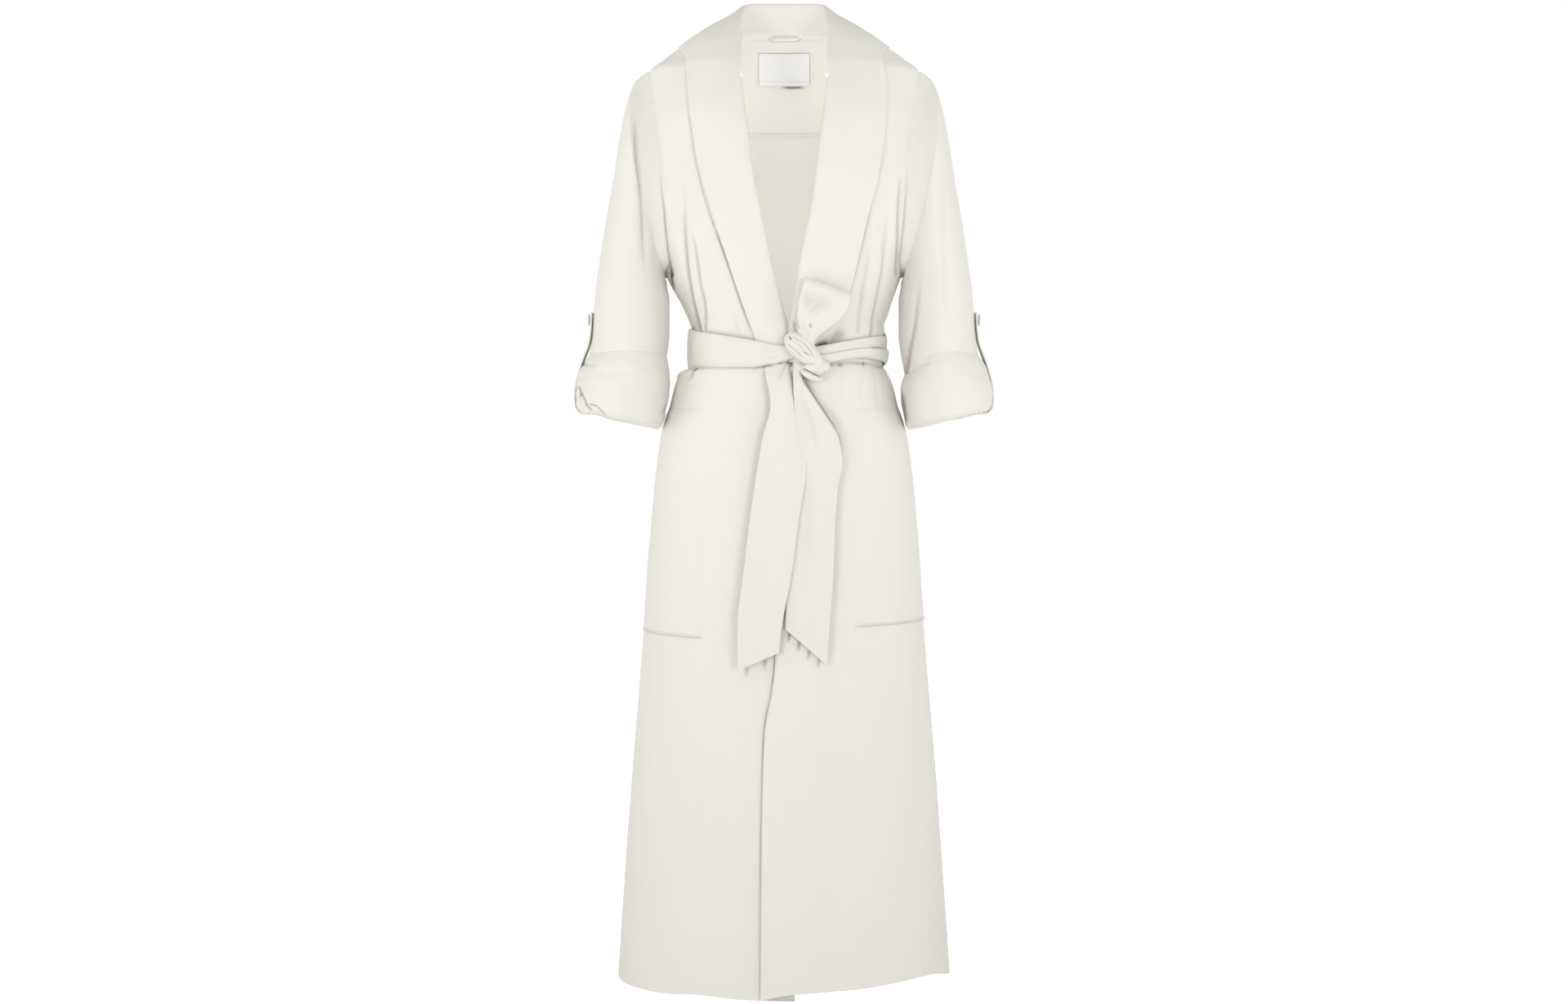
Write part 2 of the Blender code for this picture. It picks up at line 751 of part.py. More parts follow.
def pocket(side, name, slot, columns=6, rows=9):
    grid = []
    for j in range(rows + 1):
        height = mix(POCKET_BOTTOM[side], POCKET_TOP, j / rows)
        inner = front_turn(POCKET_EDGE_X[side], height)
        row = []
        for i in range(columns + 1):
            share = i / columns
            turn = mix(inner, side * POCKET_SIDE, share)
            row.append(torso(turn, height + POCKET_SLOPE * share, POCKET_OUT))
        grid.append(row if side > 0 else row[::-1])
    return add_shell(name, grid, CLOTH, slot)


LABEL_SIZE = (65.0, 39.0)
LABEL_TOP = -21.0
LABEL_X = 1.0
LABEL_WALL = 1.0
LABEL_SPACE = 0.9  # space between the label and the yoke's smooth inner face


def label(slot, columns=6, rows=3):
    """The blank label, on the inner face of the yoke."""
    grid = []
    for j in range(rows + 1):
        height = LABEL_TOP - LABEL_SIZE[1] * j / rows
        row = []
        for i in range(columns + 1):
            x = LABEL_X + LABEL_SIZE[0] * (i / columns - 0.5)
            turn = 180 - front_turn(x, height)
            row.append(torso(turn, height, -CLOTH - LABEL_SPACE))
        grid.append(row)
    return add_shell("label", grid, LABEL_WALL, slot)


LOOP_X = (-21.0, 25.0)
LOOP_SAG = 6.0
LOOP_RADIUS = 1.4
LOOP_TOP = -1.0  # height of its two sewn ends
LOOP_SPACE = 1.2  # space between the loop and the yoke


def hanger_loop(slot, points=9):
    """A narrow rolled strip that hangs below the nape seam between two sewn ends."""
    curve = bpy.data.curves.new("hanger_loop", "CURVE")
    curve.dimensions = "3D"
    curve.bevel_depth = LOOP_RADIUS * MM
    curve.bevel_resolution = 1
    curve.use_fill_caps = True
    spline = curve.splines.new("POLY")
    spline.points.add(points - 1)
    for k in range(points):
        t = k / (points - 1)
        x = mix(LOOP_X[0], LOOP_X[1], t)
        height = LOOP_TOP - LOOP_SAG * min(1.0, 4.5 * t * (1 - t)) ** 0.5
        turn = 180 - front_turn(x, height)
        place = torso(turn, height, -CLOTH - LOOP_SPACE - LOOP_RADIUS)
        spline.points[k].co = (*(place * MM), 1)
    curve.materials.append(slot)
    made = bpy.data.objects.new("hanger_loop", curve)
    parts.objects.link(made)
    return made


# ---------------------------------------------------------------- belt

# each stretch of the belt: top and bottom at a turn round the body, and how far it stands off the body
BELT_BACK = Table(
    ("turn", "top", "bottom", "out"),
    [
        (84, -380, -427, 5.8),
        (110, -379, -429, 5.2),
        (180, -380, -431, 4.6),
        (250, -379, -429, 4.6),
        (276, -378, -427, 4.8),
    ],
)
BELT_RIGHT = Table(
    ("turn", "top", "bottom", "out"),
    [
        (-83.8, -378, -427, 4.8),
        (-60, -380, -430, 6.4),
        (-40, -389, -432, 9.2),
        (-22, -399, -434, 10),
        (-6, -404, -430, 10.5),
        (0.5, -406, -427, 13.4),
    ],
)
BELT_LEFT = Table(
    ("turn", "top", "bottom", "out"),
    [
        (14, -409, -428, 19.4),
        (22, -407, -427, 11.5),
        (30, -404, -425, 9.5),
        (45, -396, -422, 8.6),
        (60, -389, -421, 6.5),
        (83.8, -386, -422, 5.2),
    ],
)


def belt_stretch(name, table, profile, steps, slot):
    """A stretch of the belt; profile says how far each of its lines across stands out."""
    start, end = table.rows[0][0], table.rows[-1][0]
    grid = []
    for share, swell in profile:
        row = []
        for k in range(steps + 1):
            turn = mix(start, end, k / steps)
            top, bottom = table.at("top", turn), table.at("bottom", turn)
            height = mix(bottom, top, share)
            smooth = ring(turn, height, level=(top + bottom) / 2)
            face = ring_normal(turn, (top + bottom) / 2)
            face.z = 0
            row.append(smooth + face.normalized() * (table.at("out", turn) + swell))
        grid.append(row)
    return add_shell(name, grid, BAND, slot)


PLAIN_PROFILE = [(0.0, 0.0), (0.33, 0.8), (0.67, 0.8), (1.0, 0.0)]
FOLDED_PROFILE = [(0.0, 1.0), (0.25, 2.4), (0.5, 2.0), (0.56, -0.4), (0.78, 0.0), (1.0, -1.0)]


def strap(name, stations, thickness, slot, steps=3):
    """A strip through stations, each with a left and a right place of its face and a bow outward."""
    grid = []
    for left, right, bow in stations:
        left, right = Vector(left), Vector(right)
        row = []
        for k in range(steps + 1):
            t = k / steps
            row.append(left.lerp(right, t) + Vector((0, -4 * bow * t * (1 - t), 0)))
        grid.append(row)
    return add_shell(name, grid, thickness, slot)


# the tails: height, x of both edges on the two sides, and how far they stand off the front
TAIL_RIGHT = Table(
    ("height", "left_x", "right_x", "out"),
    [
        (-446, -20.5, 10.5, 14),
        (-472, -15.8, 12, 13),
        (-522, -24.7, 23, 13.2),
        (-560, -31, 26, 13.2),
        (-620, -39.4, 17.5, 13.2),
        (-682, -46.2, 9.8, 13.2),
        (-754, -53.5, -3, 13.2),
        (-804, -53.4, -8, 13.2),
    ],
)
TAIL_LEFT = Table(
    ("height", "left_x", "right_x", "out"),
    [
        (-463, 12, 27, 9.6),
        (-477, 12, 40.5, 8.8),
        (-510, 13, 60, 8.8),
        (-556, 15, 69, 8.8),
        (-580, 13, 64, 8.8),
        (-630, 8, 60, 8.8),
        (-684, 5, 58, 8.8),
        (-729, 2, 55, 8.8),
        (-797, 1, 50, 8.8),
    ],
)


TAIL_SWELL = 0.9  # how far a tail arches out between its edges
TAIL_WAVE = 0.8  # and how far it waves across, half a radian further at each row


def tail(name, table, cut, slot, rows=13, columns=4):
    """A hanging end of the belt; cut is how much higher its bottom is on the left (or right, if negative)."""
    top, bottom = table.rows[-1][0], table.rows[0][0]
    grid = []
    for j in range(rows + 1):
        row = []
        for i in range(columns + 1):
            t = i / columns
            rise = cut * (1 - t) if cut > 0 else -cut * t
            height = mix(bottom + rise, top, j / rows)
            x = mix(table.at("left_x", height), table.at("right_x", height), t)
            wave = TAIL_SWELL * math.sin(math.pi * t) + TAIL_WAVE * math.sin(2 * math.pi * t + j * 0.5)
            row.append(on_front(x, height, table.at("out", height) + wave))
        grid.append(row)
    return add_shell(name, grid, BAND, slot)


# the band that wraps the knot, and the tuck below it that the lower tail comes out of
KNOT_WRAP = [
    {"at": (1, -114.5, -401), "wide": 9, "thick": 3},
    {"at": (7, -121, -402), "wide": 14, "thick": 7},
    {"at": (18, -127, -410), "wide": 17, "thick": 9},
    {"at": (29, -127, -424), "wide": 16, "thick": 9},
    {"at": (36, -122, -434), "wide": 12, "thick": 7},
    {"at": (39, -117, -438), "wide": 6, "thick": 3},
]
KNOT_TUCK = [
    {"at": (22, -112, -456), "wide": 5, "thick": 2},
    {"at": (28, -117, -454.5), "wide": 9.5, "thick": 5.5},
    {"at": (38, -120, -451.5), "wide": 10, "thick": 6},
    {"at": (47, -116, -449), "wide": 8, "thick": 5},
    {"at": (51, -113, -447), "wide": 4, "thick": 2},
]


def lump(name, route, slot, sides=12):
    """A closed swollen band through a route: each stop has a place, a half-width and a half-thickness."""
    rings = []
    for k, stop in enumerate(route):
        place = Vector(stop["at"])
        before = Vector(route[max(k - 1, 0)]["at"])
        after = Vector(route[min(k + 1, len(route) - 1)]["at"])
        along = (after - before).normalized()
        face = Vector((0, -1, 0)) - along * -along.y
        face.normalize()
        across = along.cross(face)
        row = []
        for s in range(sides):
            angle = 2 * math.pi * s / sides
            sideways = across * (stop["wide"] * math.cos(angle))
            row.append(place + sideways + face * (stop["thick"] * math.sin(angle)))
        rings.append(row)
    points = [p for row in rings for p in row]
    faces = []
    for j in range(len(rings) - 1):
        for i in range(sides):
            k = (i + 1) % sides
            faces.append((j * sides + i, (j + 1) * sides + i, (j + 1) * sides + k, j * sides + k))
    faces.append(tuple(range(sides)))
    faces.append(tuple((len(rings) - 1) * sides + i for i in range(sides))[::-1])
    return add_mesh(name, points, faces, slot)


# the bow loop, from the knot up its front, over the top and down behind: both edges of the strip
BOW_LOOP = [
    ((17, -132.5, -391), (38, -133.5, -408), 0.5),
    ((16, -136, -379), (50, -138, -396), 1.5),
    ((17, -139, -362), (66, -141, -382), -1.0),
    ((21, -141, -345), (76, -142, -368), -2.5),
    ((24.5, -141, -334), (80, -141, -356), -1.0),
    ((26.6, -136, -329), (79.5, -136, -348), 0.0),
    ((27, -128, -329.5), (79.5, -128, -348), 0.0),
    ((25.5, -122, -336), (79, -122, -357), 0.0),
    ((20, -119, -360), (66, -119, -380), 0.0),
    ((19, -116, -382), (46, -116, -397), 0.0),
]


def main():
    for leftover in list(bpy.data.objects):
        bpy.data.objects.remove(leftover)
    bpy.context.scene.collection.children.link(parts)

    crepe = material("crepe", (0.84, 0.82, 0.77), 0.8)
    trim_crepe = material("belt_crepe", (0.82, 0.79, 0.74), 0.8)
    label_weave = material("label_weave", (0.9, 0.9, 0.9), 0.6)
    horn = material("button_resin", (0.8, 0.78, 0.72), 0.4)

    front_panel(-1, "front_right", crepe)
    front_panel(1, "front_left", crepe)
    back_panel(crepe)
    back_yoke(crepe)
    collar(-1, "collar_right", crepe)
    collar(1, "collar_left", crepe)
    for side, word in ((-1, "right"), (1, "left")):
        sleeve(side, "sleeve_" + word, crepe)
        cuff(side, "cuff_" + word, crepe)
        tab(side, "tab_" + word, crepe)
        button(side, "button_" + word, horn)
        pocket(side, "pocket_" + word, crepe)
    hanger_loop(trim_crepe)
    label(label_weave)

    belt_stretch("belt_back", BELT_BACK, PLAIN_PROFILE, 18, trim_crepe)
    belt_stretch("belt_front_right", BELT_RIGHT, PLAIN_PROFILE, 9, trim_crepe)
    belt_stretch("belt_front_left", BELT_LEFT, FOLDED_PROFILE, 7, trim_crepe)
    tail("belt_tail_right", TAIL_RIGHT, -22.0, trim_crepe)
    tail("belt_tail_left", TAIL_LEFT, 43.0, trim_crepe)
    lump("belt_knot_wrap", KNOT_WRAP, trim_crepe)
    lump("belt_knot_tuck", KNOT_TUCK, trim_crepe)
    strap("belt_bow_loop", BOW_LOOP, BAND, trim_crepe, steps=4)


main()
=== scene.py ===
"""Looks of the wrap coat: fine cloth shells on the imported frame, sewing, materials, light and camera.

Lengths are in millimetres until a mesh is made, which is in metres. SIDE is -1 on the wearer's right.
"""

import math

import bpy
import numpy as np
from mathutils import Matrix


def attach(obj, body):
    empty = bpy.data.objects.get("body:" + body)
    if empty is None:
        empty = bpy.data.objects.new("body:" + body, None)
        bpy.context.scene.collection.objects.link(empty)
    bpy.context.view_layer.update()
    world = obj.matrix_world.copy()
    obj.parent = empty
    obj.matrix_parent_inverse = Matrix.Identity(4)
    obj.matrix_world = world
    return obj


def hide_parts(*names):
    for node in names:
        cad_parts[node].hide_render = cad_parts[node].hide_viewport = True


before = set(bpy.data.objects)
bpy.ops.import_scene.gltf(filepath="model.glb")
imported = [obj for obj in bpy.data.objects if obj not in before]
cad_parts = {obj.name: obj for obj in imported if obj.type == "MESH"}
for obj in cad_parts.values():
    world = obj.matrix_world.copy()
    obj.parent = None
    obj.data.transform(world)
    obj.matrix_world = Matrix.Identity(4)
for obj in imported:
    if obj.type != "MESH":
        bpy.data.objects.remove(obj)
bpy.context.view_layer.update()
MM = 0.001

# ---------------------------------------------------------------- driving sizes, as in the part

HEM, UNDERARM, YOKE_SEAM, SHOULDER_TIP, PANEL_TOP = -1194.0, -317.0, -122.0, -56.0, -3.0
COLLAR_END, OVERLAP_TOP, SKIRT_TOP, HEM_DEPTH = -430.0, -440.0, -560.0, 47.0
# the height where the collar's stand meets the front, how far the front's edge lies behind the roll, and the
# height where the hem's unevenness starts
NECK_POINT, BEHIND_ROLL, HEM_SHIFT_TOP = -17.0, 2.4, -700.0
# half the neck's width at that height and at its top, and how far the wrap lifts the top front
NECK_EDGE, WRAP_LIFT = (60.0, 62.0), 3.8
# width and depth of the groove at a panel's seam, and of the line of stitches above the hem
PANEL_SEAM, FRONT_STITCHES, BACK_STITCHES = (1.3, 0.25), (1.6, 0.35), (1.6, 0.3)
PANEL_WALL, COLLAR_WALL, BELT_WALL, CUFF_WALL, TAB_WALL = 1.3, 1.7, 1.9, 1.6, 1.9
POCKET_WALL, HANGER_WALL, LABEL_WALL = 0.9, 0.4, 0.5


def hermite(low, high, low_slope, high_slope, span, t):
    """From low to high as t goes from 0 to 1, with these slopes at the ends."""
    return (
        (2 * t**3 - 3 * t**2 + 1) * low
        + (t**3 - 2 * t**2 + t) * span * low_slope
        + (3 * t**2 - 2 * t**3) * high
        + (t**3 - t**2) * span * high_slope
    )


class Table:
    """Rows of numbers with named columns; at() reads a column smoothly along the first one."""

    def __init__(self, columns, rows):
        self.rows = sorted(rows)
        self.columns = columns
        self.keys = np.array([row[0] for row in self.rows], float)
        self.tangents = {}

    def at(self, name, key):
        if name not in self.tangents:
            vals = np.array([row[self.columns.index(name)] for row in self.rows], float)
            slope = np.diff(vals) / np.diff(self.keys)
            tangent = np.concatenate([slope[:1], np.zeros(len(vals) - 2), slope[-1:]])
            both = slope[:-1] * slope[1:]
            tangent[1:-1] = np.where(both > 0, 2 * both / np.where(both > 0, slope[:-1] + slope[1:], 1), 0)
            self.tangents[name] = vals, tangent
        vals, tangent = self.tangents[name]
        key = np.clip(np.asarray(key, float), self.keys[0], self.keys[-1])
        i = np.clip(np.searchsorted(self.keys, key, side="right") - 1, 0, len(vals) - 2)
        span = self.keys[i + 1] - self.keys[i]
        return hermite(vals[i], vals[i + 1], tangent[i], tangent[i + 1], span, (key - self.keys[i]) / span)


BODY = Table(("height", "middle_x", "half_width", "side_y", "front_y", "back_y", "power"), [
    (0, 0, 62, 16, 4, 75, 2),
    (-5, 0, 89, 16, -2, 79, 1.9),
    (-15, 0, 111, 16, -12, 84, 1.8),
    (-29, 0, 138, 15, -24, 89, 1.8),
    (-39, 0, 150.5, 14, -33, 92, 1.8),
    (-56, 0, 170, 12, -47, 96, 1.8),
    (-90, 0, 172, 10, -66, 101, 1.9),
    (-122, 0, 172, 8, -80, 104, 2),
    (-160, 0, 173, 6, -92, 106, 2),
    (-200, 0, 173, 5, -101, 106, 2.1),
    (-240, 0, 171, 4, -107, 105, 2.1),
    (-262, 0, 167, 3, -109, 103, 2.1),
    (-285, 0, 158, 2, -110, 101, 2.2),
    (-300, 0, 151, 1, -110, 99, 2.2),
    (-317, 0, 147, 0, -109, 98, 2.2),
    (-348, 2.6, 133.5, 0, -105, 94, 2.2),
    (-368, 4, 125.5, 0, -101, 89, 2.2),
    (-378, 4.6, 121, 0, -99.5, 87, 2.2),
    (-402, 4.2, 120.4, 0, -99, 86.5, 2.2),
    (-430, 3.4, 120.4, 0, -99.5, 87, 2.2),
    (-438, 0.5, 129, 0, -102, 91.5, 2.2),
    (-451, 0, 136, 0, -104, 97, 2.2),
    (-480, 0, 143.5, 0, -107, 106, 2.2),
    (-513, 0, 153, 0, -110, 114, 2.2),
    (-575, 0, 161.5, 0, -116, 123, 2.2),
    (-678, 0, 170.5, 0, -126, 130, 2.2),
    (-760, 0, 176.5, 0, -133, 134, 2.2),
    (-925, 0, 190, 0, -147, 143, 2.2),
    (-1090, 0, 202, 0, -161, 151, 2.2),
    (-1194, 0, 209, 0, -171, 156, 2.2),
])
ARMHOLE = Table(("height", "turn"), [
    (-317, 90), (-308, 77), (-292, 68), (-270, 62), (-240, 60), (-205, 61), (-170, 63), (-145, 65.5),
    (-122, 69), (-100, 73), (-78, 79), (-56, 90),
])
COLLAR_COLUMNS = ("height", "roll_x", "edge_height", "edge_x")
COLLAR = {
    -1: Table(COLLAR_COLUMNS, [
        (-17, 55.8, -40, 124.5),
        (-50, 54.8, -68, 121),
        (-77, 53.4, -90, 118.5),
        (-108, 50.5, -118, 115.5),
        (-139, 46.2, -148, 111),
        (-169, 43, -178, 106),
        (-199, 38.9, -209, 98.5),
        (-228, 33.5, -240, 88.8),
        (-258, 27.3, -270, 79.5),
        (-283, 22.5, -296, 70.5),
        (-308, 17.4, -322, 62),
        (-339, 8.9, -352, 51.5),
        (-362, 3, -376, 43),
        (-386, -2.5, -398, 35),
        (-410, -2, -418, 29),
        (-430, -2, -434, 25),
    ]),
    1: Table(COLLAR_COLUMNS, [
        (-17, 56.2, -40, 124),
        (-50, 55.3, -70, 126.5),
        (-77, 54, -92, 128),
        (-108, 51.5, -120, 127),
        (-139, 47.8, -152, 123),
        (-169, 44, -183, 118),
        (-199, 40.3, -214, 112),
        (-228, 36.8, -245, 103),
        (-258, 31, -275, 95.5),
        (-283, 25.5, -300, 89.5),
        (-308, 20.5, -326, 83.5),
        (-339, 15.7, -356, 75),
        (-362, 11.5, -380, 66),
        (-386, 6.5, -400, 57),
        (-410, 7, -420, 50),
        (-430, 7.5, -434, 46),
    ]),
}
EDGE_BELOW = {
    -1: Table(("height", "x"), [(-440, 2), (-500, 10), (-600, 11), (-900, 12), (-1194, 13)]),
    1: Table(("height", "x"), [
        (-440, 7), (-500, -1), (-600, -4), (-790, -10.8), (-835, -14.7), (-860, -21.5), (-940, -25.4),
        (-1194, -28),
    ]),
}
HEM_RISE = {
    -1: Table(("x", "rise"), [(-209, 3), (-195, 1), (-150, 1), (-105, 4), (-50, 1), (13, 0)]),
    1: Table(("x", "rise"), [
        (-28, 1), (13, 8), (50, 10), (90, 11.5), (140, 15), (178, 17), (203, 9), (209, 4),
    ]),
}

# the belt all round, from the knot over the wearer's left side, back and right side to the knot again
BELT = Table(("turn", "top", "bottom", "out"), [
    (10, -411, -432, 13),
    (16, -410, -431, 14),
    (22, -407.5, -430, 12),
    (30, -404, -427.5, 9.8),
    (45, -399, -426, 8.6),
    (60, -395, -427, 6.5),
    (84, -391, -429, 5.4),
    (110, -381, -430, 5.2),
    (180, -380, -431, 4.6),
    (250, -380, -432, 4.6),
    (276, -382, -436, 4.8),
    (299, -388.5, -434, 6.4),
    (320, -394.5, -435, 9.2),
    (342, -402.5, -436, 10),
    (356, -409, -431, 10.5),
    (362, -411.5, -426, 11),
    (367, -414, -424, 11),
])

# soft folds of the body panels as in the part: the x and the heights of both ends, half-width and depth
FOLDS = [
    ((-119, -123), (-120, -372), 11, 3.2),
    ((-104, -92), (-250, -376), 9, 2.6),
    ((108, 90), (-270, -380), 9, 2.6),
    ((132, 108), (-200, -384), 10, 3),
    ((-70, -100), (-450, -760), 16, 2),
    ((84, 110), (-450, -800), 16, 2),
]
BACK_FOLDS = [
    ((-96, -78), (-180, -385), 14, 3),
    ((98, 76), (-190, -385), 14, 3),
    ((-40, -60), (-430, -800), 18, 3),
    ((44, 66), (-430, -860), 18, 3),
]

# finer creases: half-width, depth and a path of (x, height) places, then how dark its shadow is, in all or at
# its start and end, and the shares of its length over which it rises and dies out. A row that stops short
# takes what it lacks from CREASE_REST.
CREASE_REST = (0.0, (0.35, 0.35))
FRONT_CREASES = [
    # beside the armholes
    (2.4, 2, [(-157, -170), (-156, -206), (-151, -236), (-148, -266), (-145, -296), (-140, -318)],
     (0.3, 0.8), (0.4, 0)),
    (2.4, 1.8, [(145, -186), (142, -236), (141, -276), (140, -316)], (0.3, 0.35), (0.3, 0)),
    # from the belt up to the chest
    (2.5, 3.2, [(-123, -187), (-124, -247), (-124, -277), (-122, -307), (-117, -337), (-112, -361),
     (-104, -386)], (0.12, 0.6), (0.5, 0)),
    (2, 2.4, [(-119, -262), (-113, -277), (-108, -302), (-104, -332), (-99, -356), (-97, -387)],
     (0.25, 0.42), (0.25, 0)),
    (5, 0.4, [(-138, -334), (-127, -358), (-113, -382)], (0.22, 0.3), (0.4, 0)),
    (4, 0.8, [(-63, -368), (-57, -388), (-54, -398)], 0.06, (0.5, 0)),
    (2.6, 2, [(110, -272), (102, -322), (96, -351), (91, -390)], (0.08, 0.2), (0.4, 0)),
    (2.3, 2.4, [(130, -232), (126, -277), (123, -317), (116, -351), (107, -393)], (0.15, 0.32), (0.4, 0)),
    # below the belt
    (2.2, 2, [(-107, -434), (-113, -442), (-123, -452)], 0.4, (0, 0.7)),
    (5, 0.8, [(-94, -436), (-92, -470), (-96, -520)]),
    (5, 0.7, [(-62, -437), (-60, -480)]),
    (3.5, 1, [(69, -428), (68, -448), (70, -480)]),
    (4, 1, [(99, -427), (97, -450), (100, -500)]),
    (3.5, 1, [(112, -428), (114, -450), (118, -490)]),
    # slow waves of the skirt
    (20, 1.2, [(-112, -560), (-108, -700), (-120, -860)]),
    (14, 1.2, [(118, -520), (124, -660), (120, -760)]),
    (22, 1.8, [(-60, -800), (-72, -960), (-80, -1130)]),
    (24, 1.8, [(60, -830), (70, -980), (84, -1120)]),
    (20, 1.6, [(150, -800), (158, -950), (172, -1100)]),
    (20, 1.6, [(-140, -830), (-150, -960), (-165, -1120)]),
]
# shadows that lie on the fronts: along the collar's edge, under the belt and beside the tails
FRONT_SHADOWS = [
    (1.5, 0.5, [(-121, -100), (-113, -152), (-110, -177), (-105, -197), (-99, -222), (-93, -242),
     (-86, -262)], (0.12, 0.3), (0.2, 0)),
    (1.8, 0.8, [(-90, -250), (-86, -262), (-78, -282), (-69, -307), (-60, -332), (-52, -356), (-43, -381),
     (-35, -400)], (0.6, 0.55), (0.25, 0.25)),
    (1.6, 0.5, [(125, -132), (118, -182), (104, -245), (98, -277), (91, -307), (80, -344)],
     (0.08, 0.28), (0.3, 0)),
    (1.3, 0, [(-40, -438), (-24, -437)], 0.85, (0.4, 0)),
    (9, 0, [(44, -409), (60, -402), (76, -386)], 0.42, (0, 0.35)),
    (1.1, 0, [(-124, -437), (-106, -436), (-62, -437.5), (-30, -438)], 0.3, (0, 0)),
    (1.6, 0, [(-110, -436), (-106, -434.5)], 0.85, (0.2, 0.2)),
    (1.2, 0, [(-67, -437), (-59, -437)], 0.6, (0.2, 0.2)),
    (1.6, 0, [(46, -432.5), (56, -431.5), (69, -431), (97, -430.5), (124, -432)], (0.9, 0.8), (0, 0)),
    (2.2, 0, [(51, -433), (57, -432.5)], 0.9, (0.2, 0.3)),
    (2, 0, [(64, -432), (73, -431.5)], 0.6, (0.3, 0.3)),
    (2, 0, [(95, -431), (99, -431)], 0.8, (0.2, 0.2)),
    (2.6, 0, [(-143, -306), (-141, -318), (-138.5, -332), (-138, -346)], 0.95, (0.3, 0.5)),
    (2.7, 0.6, [(22, -446), (24.5, -454), (31, -467), (40, -481), (52, -500), (66, -522), (72, -550)],
     (0.95, 0.75), (0, 0.4)),
    (1.7, 0, [(2, -757), (26, -778), (51, -800)], (0.85, 0.5), (0.05, 0.1)),
    (1.4, 0, [(-53, -807), (-30, -796), (-9, -785.5)], (0.3, 0.7), (0.1, 0.05)),
    (1.2, 0.4, [(-9.5, -782), (-13, -812), (-15.5, -835), (-22.5, -860), (-26.4, -940), (-29, -1190)],
     (0.5, 0.4), (0.02, 0)),
]
UNDERLAP_SHADOWS = [
    (9, 0, [(-24, -1200), (14, -1200)], (0.75, 0.95), (0.05, 0)),
]
BACK_CREASES = [
    (3.6, 2.4, [(-66, -290), (-58, -330), (-54, -384)], (0, 0.2), (0.5, 0)),
    (3.6, 1.8, [(-20, -330), (-22, -386)], (0, 0.12), (0.5, 0)),
    (3.4, 2.2, [(36, -310), (30, -346), (28, -386)], (0, 0.16), (0.5, 0)),
    (3.8, 2.4, [(72, -296), (66, -328), (60, -384)], (0, 0.2), (0.5, 0)),
    (4.4, 2.4, [(-84, -430), (-92, -480), (-104, -560)], (0.2, 0), (0, 0.5)),
    (4, 2, [(-52, -432), (-56, -500)], (0.16, 0), (0, 0.5)),
    (6, 2.2, [(-8, -432), (-12, -540), (-6, -640)], (0.1, 0), (0, 0.5)),
    (4, 2, [(28, -432), (32, -500)], (0.16, 0), (0, 0.5)),
    (4.6, 2.4, [(88, -430), (98, -490), (108, -570)], (0.2, 0), (0, 0.5)),
    (24, 4, [(-100, -700), (-120, -900), (-136, -1140)]),
    (26, 4, [(0, -680), (6, -900), (-4, -1150)]),
    (24, 4, [(104, -720), (124, -920), (140, -1150)]),
    (8, 2.4, [(-110, -140), (-96, -180), (-92, -240)]),
    (8, 2.4, [(112, -140), (98, -184), (94, -240)]),
]
SLEEVE_CREASES = [
    (3.6, 4.6, [(-188, -110), (-186, -133), (-183, -173), (-179, -204), (-175, -244), (-174, -284),
     (-172, -325)], (0.3, 0.24), (0.2, 0.3)),
    (5, 1.4, [(-160, -210), (-161, -260), (-160, -310), (-158, -350)], 0.05),
    (9, 1.2, [(-212, -330), (-205, -370), (-206, -405)]),
    (3.5, 1.2, [(-238, -418), (-222, -421), (-205, -419)]),
    (3, 2.8, [(168, -318), (165, -348), (161, -383), (156, -409), (152, -440)], (0.15, 0.5), (0.4, 0)),
    (5, 1.2, [(196, -150), (196, -250), (197, -330), (199, -408)], 0.05),
    (3, 1.6, [(178, -418), (180, -426), (184, -433)], 0.12),
    (8, 1.4, [(176, -110), (172, -180), (170, -250), (172, -310)]),
    (6, 1.2, [(230, -380), (222, -400), (216, -424)]),
]


def clamp(value, low=0.0, high=1.0):
    return np.clip(value, low, high)


def ease(value):
    t = clamp(value)
    return t * t * (3 - 2 * t)


def mix(a, b, t):
    return a + (b - a) * t


def bell(distance, wide):
    return np.exp(-((distance / wide) ** 2))


def norm(v):
    return np.linalg.norm(v, axis=-1)


def unit(v):
    return v / np.maximum(norm(v)[..., None], 1e-9)


def fold_depth(x, height, folds):
    total = np.zeros(np.broadcast(x, height).shape)
    for ends, (top, bottom), wide, deep in folds:
        t = clamp((height - top) / (bottom - top))
        total = total + deep * np.sin(math.pi * t) ** 0.5 * bell(x - mix(*ends, t), wide)
    return total


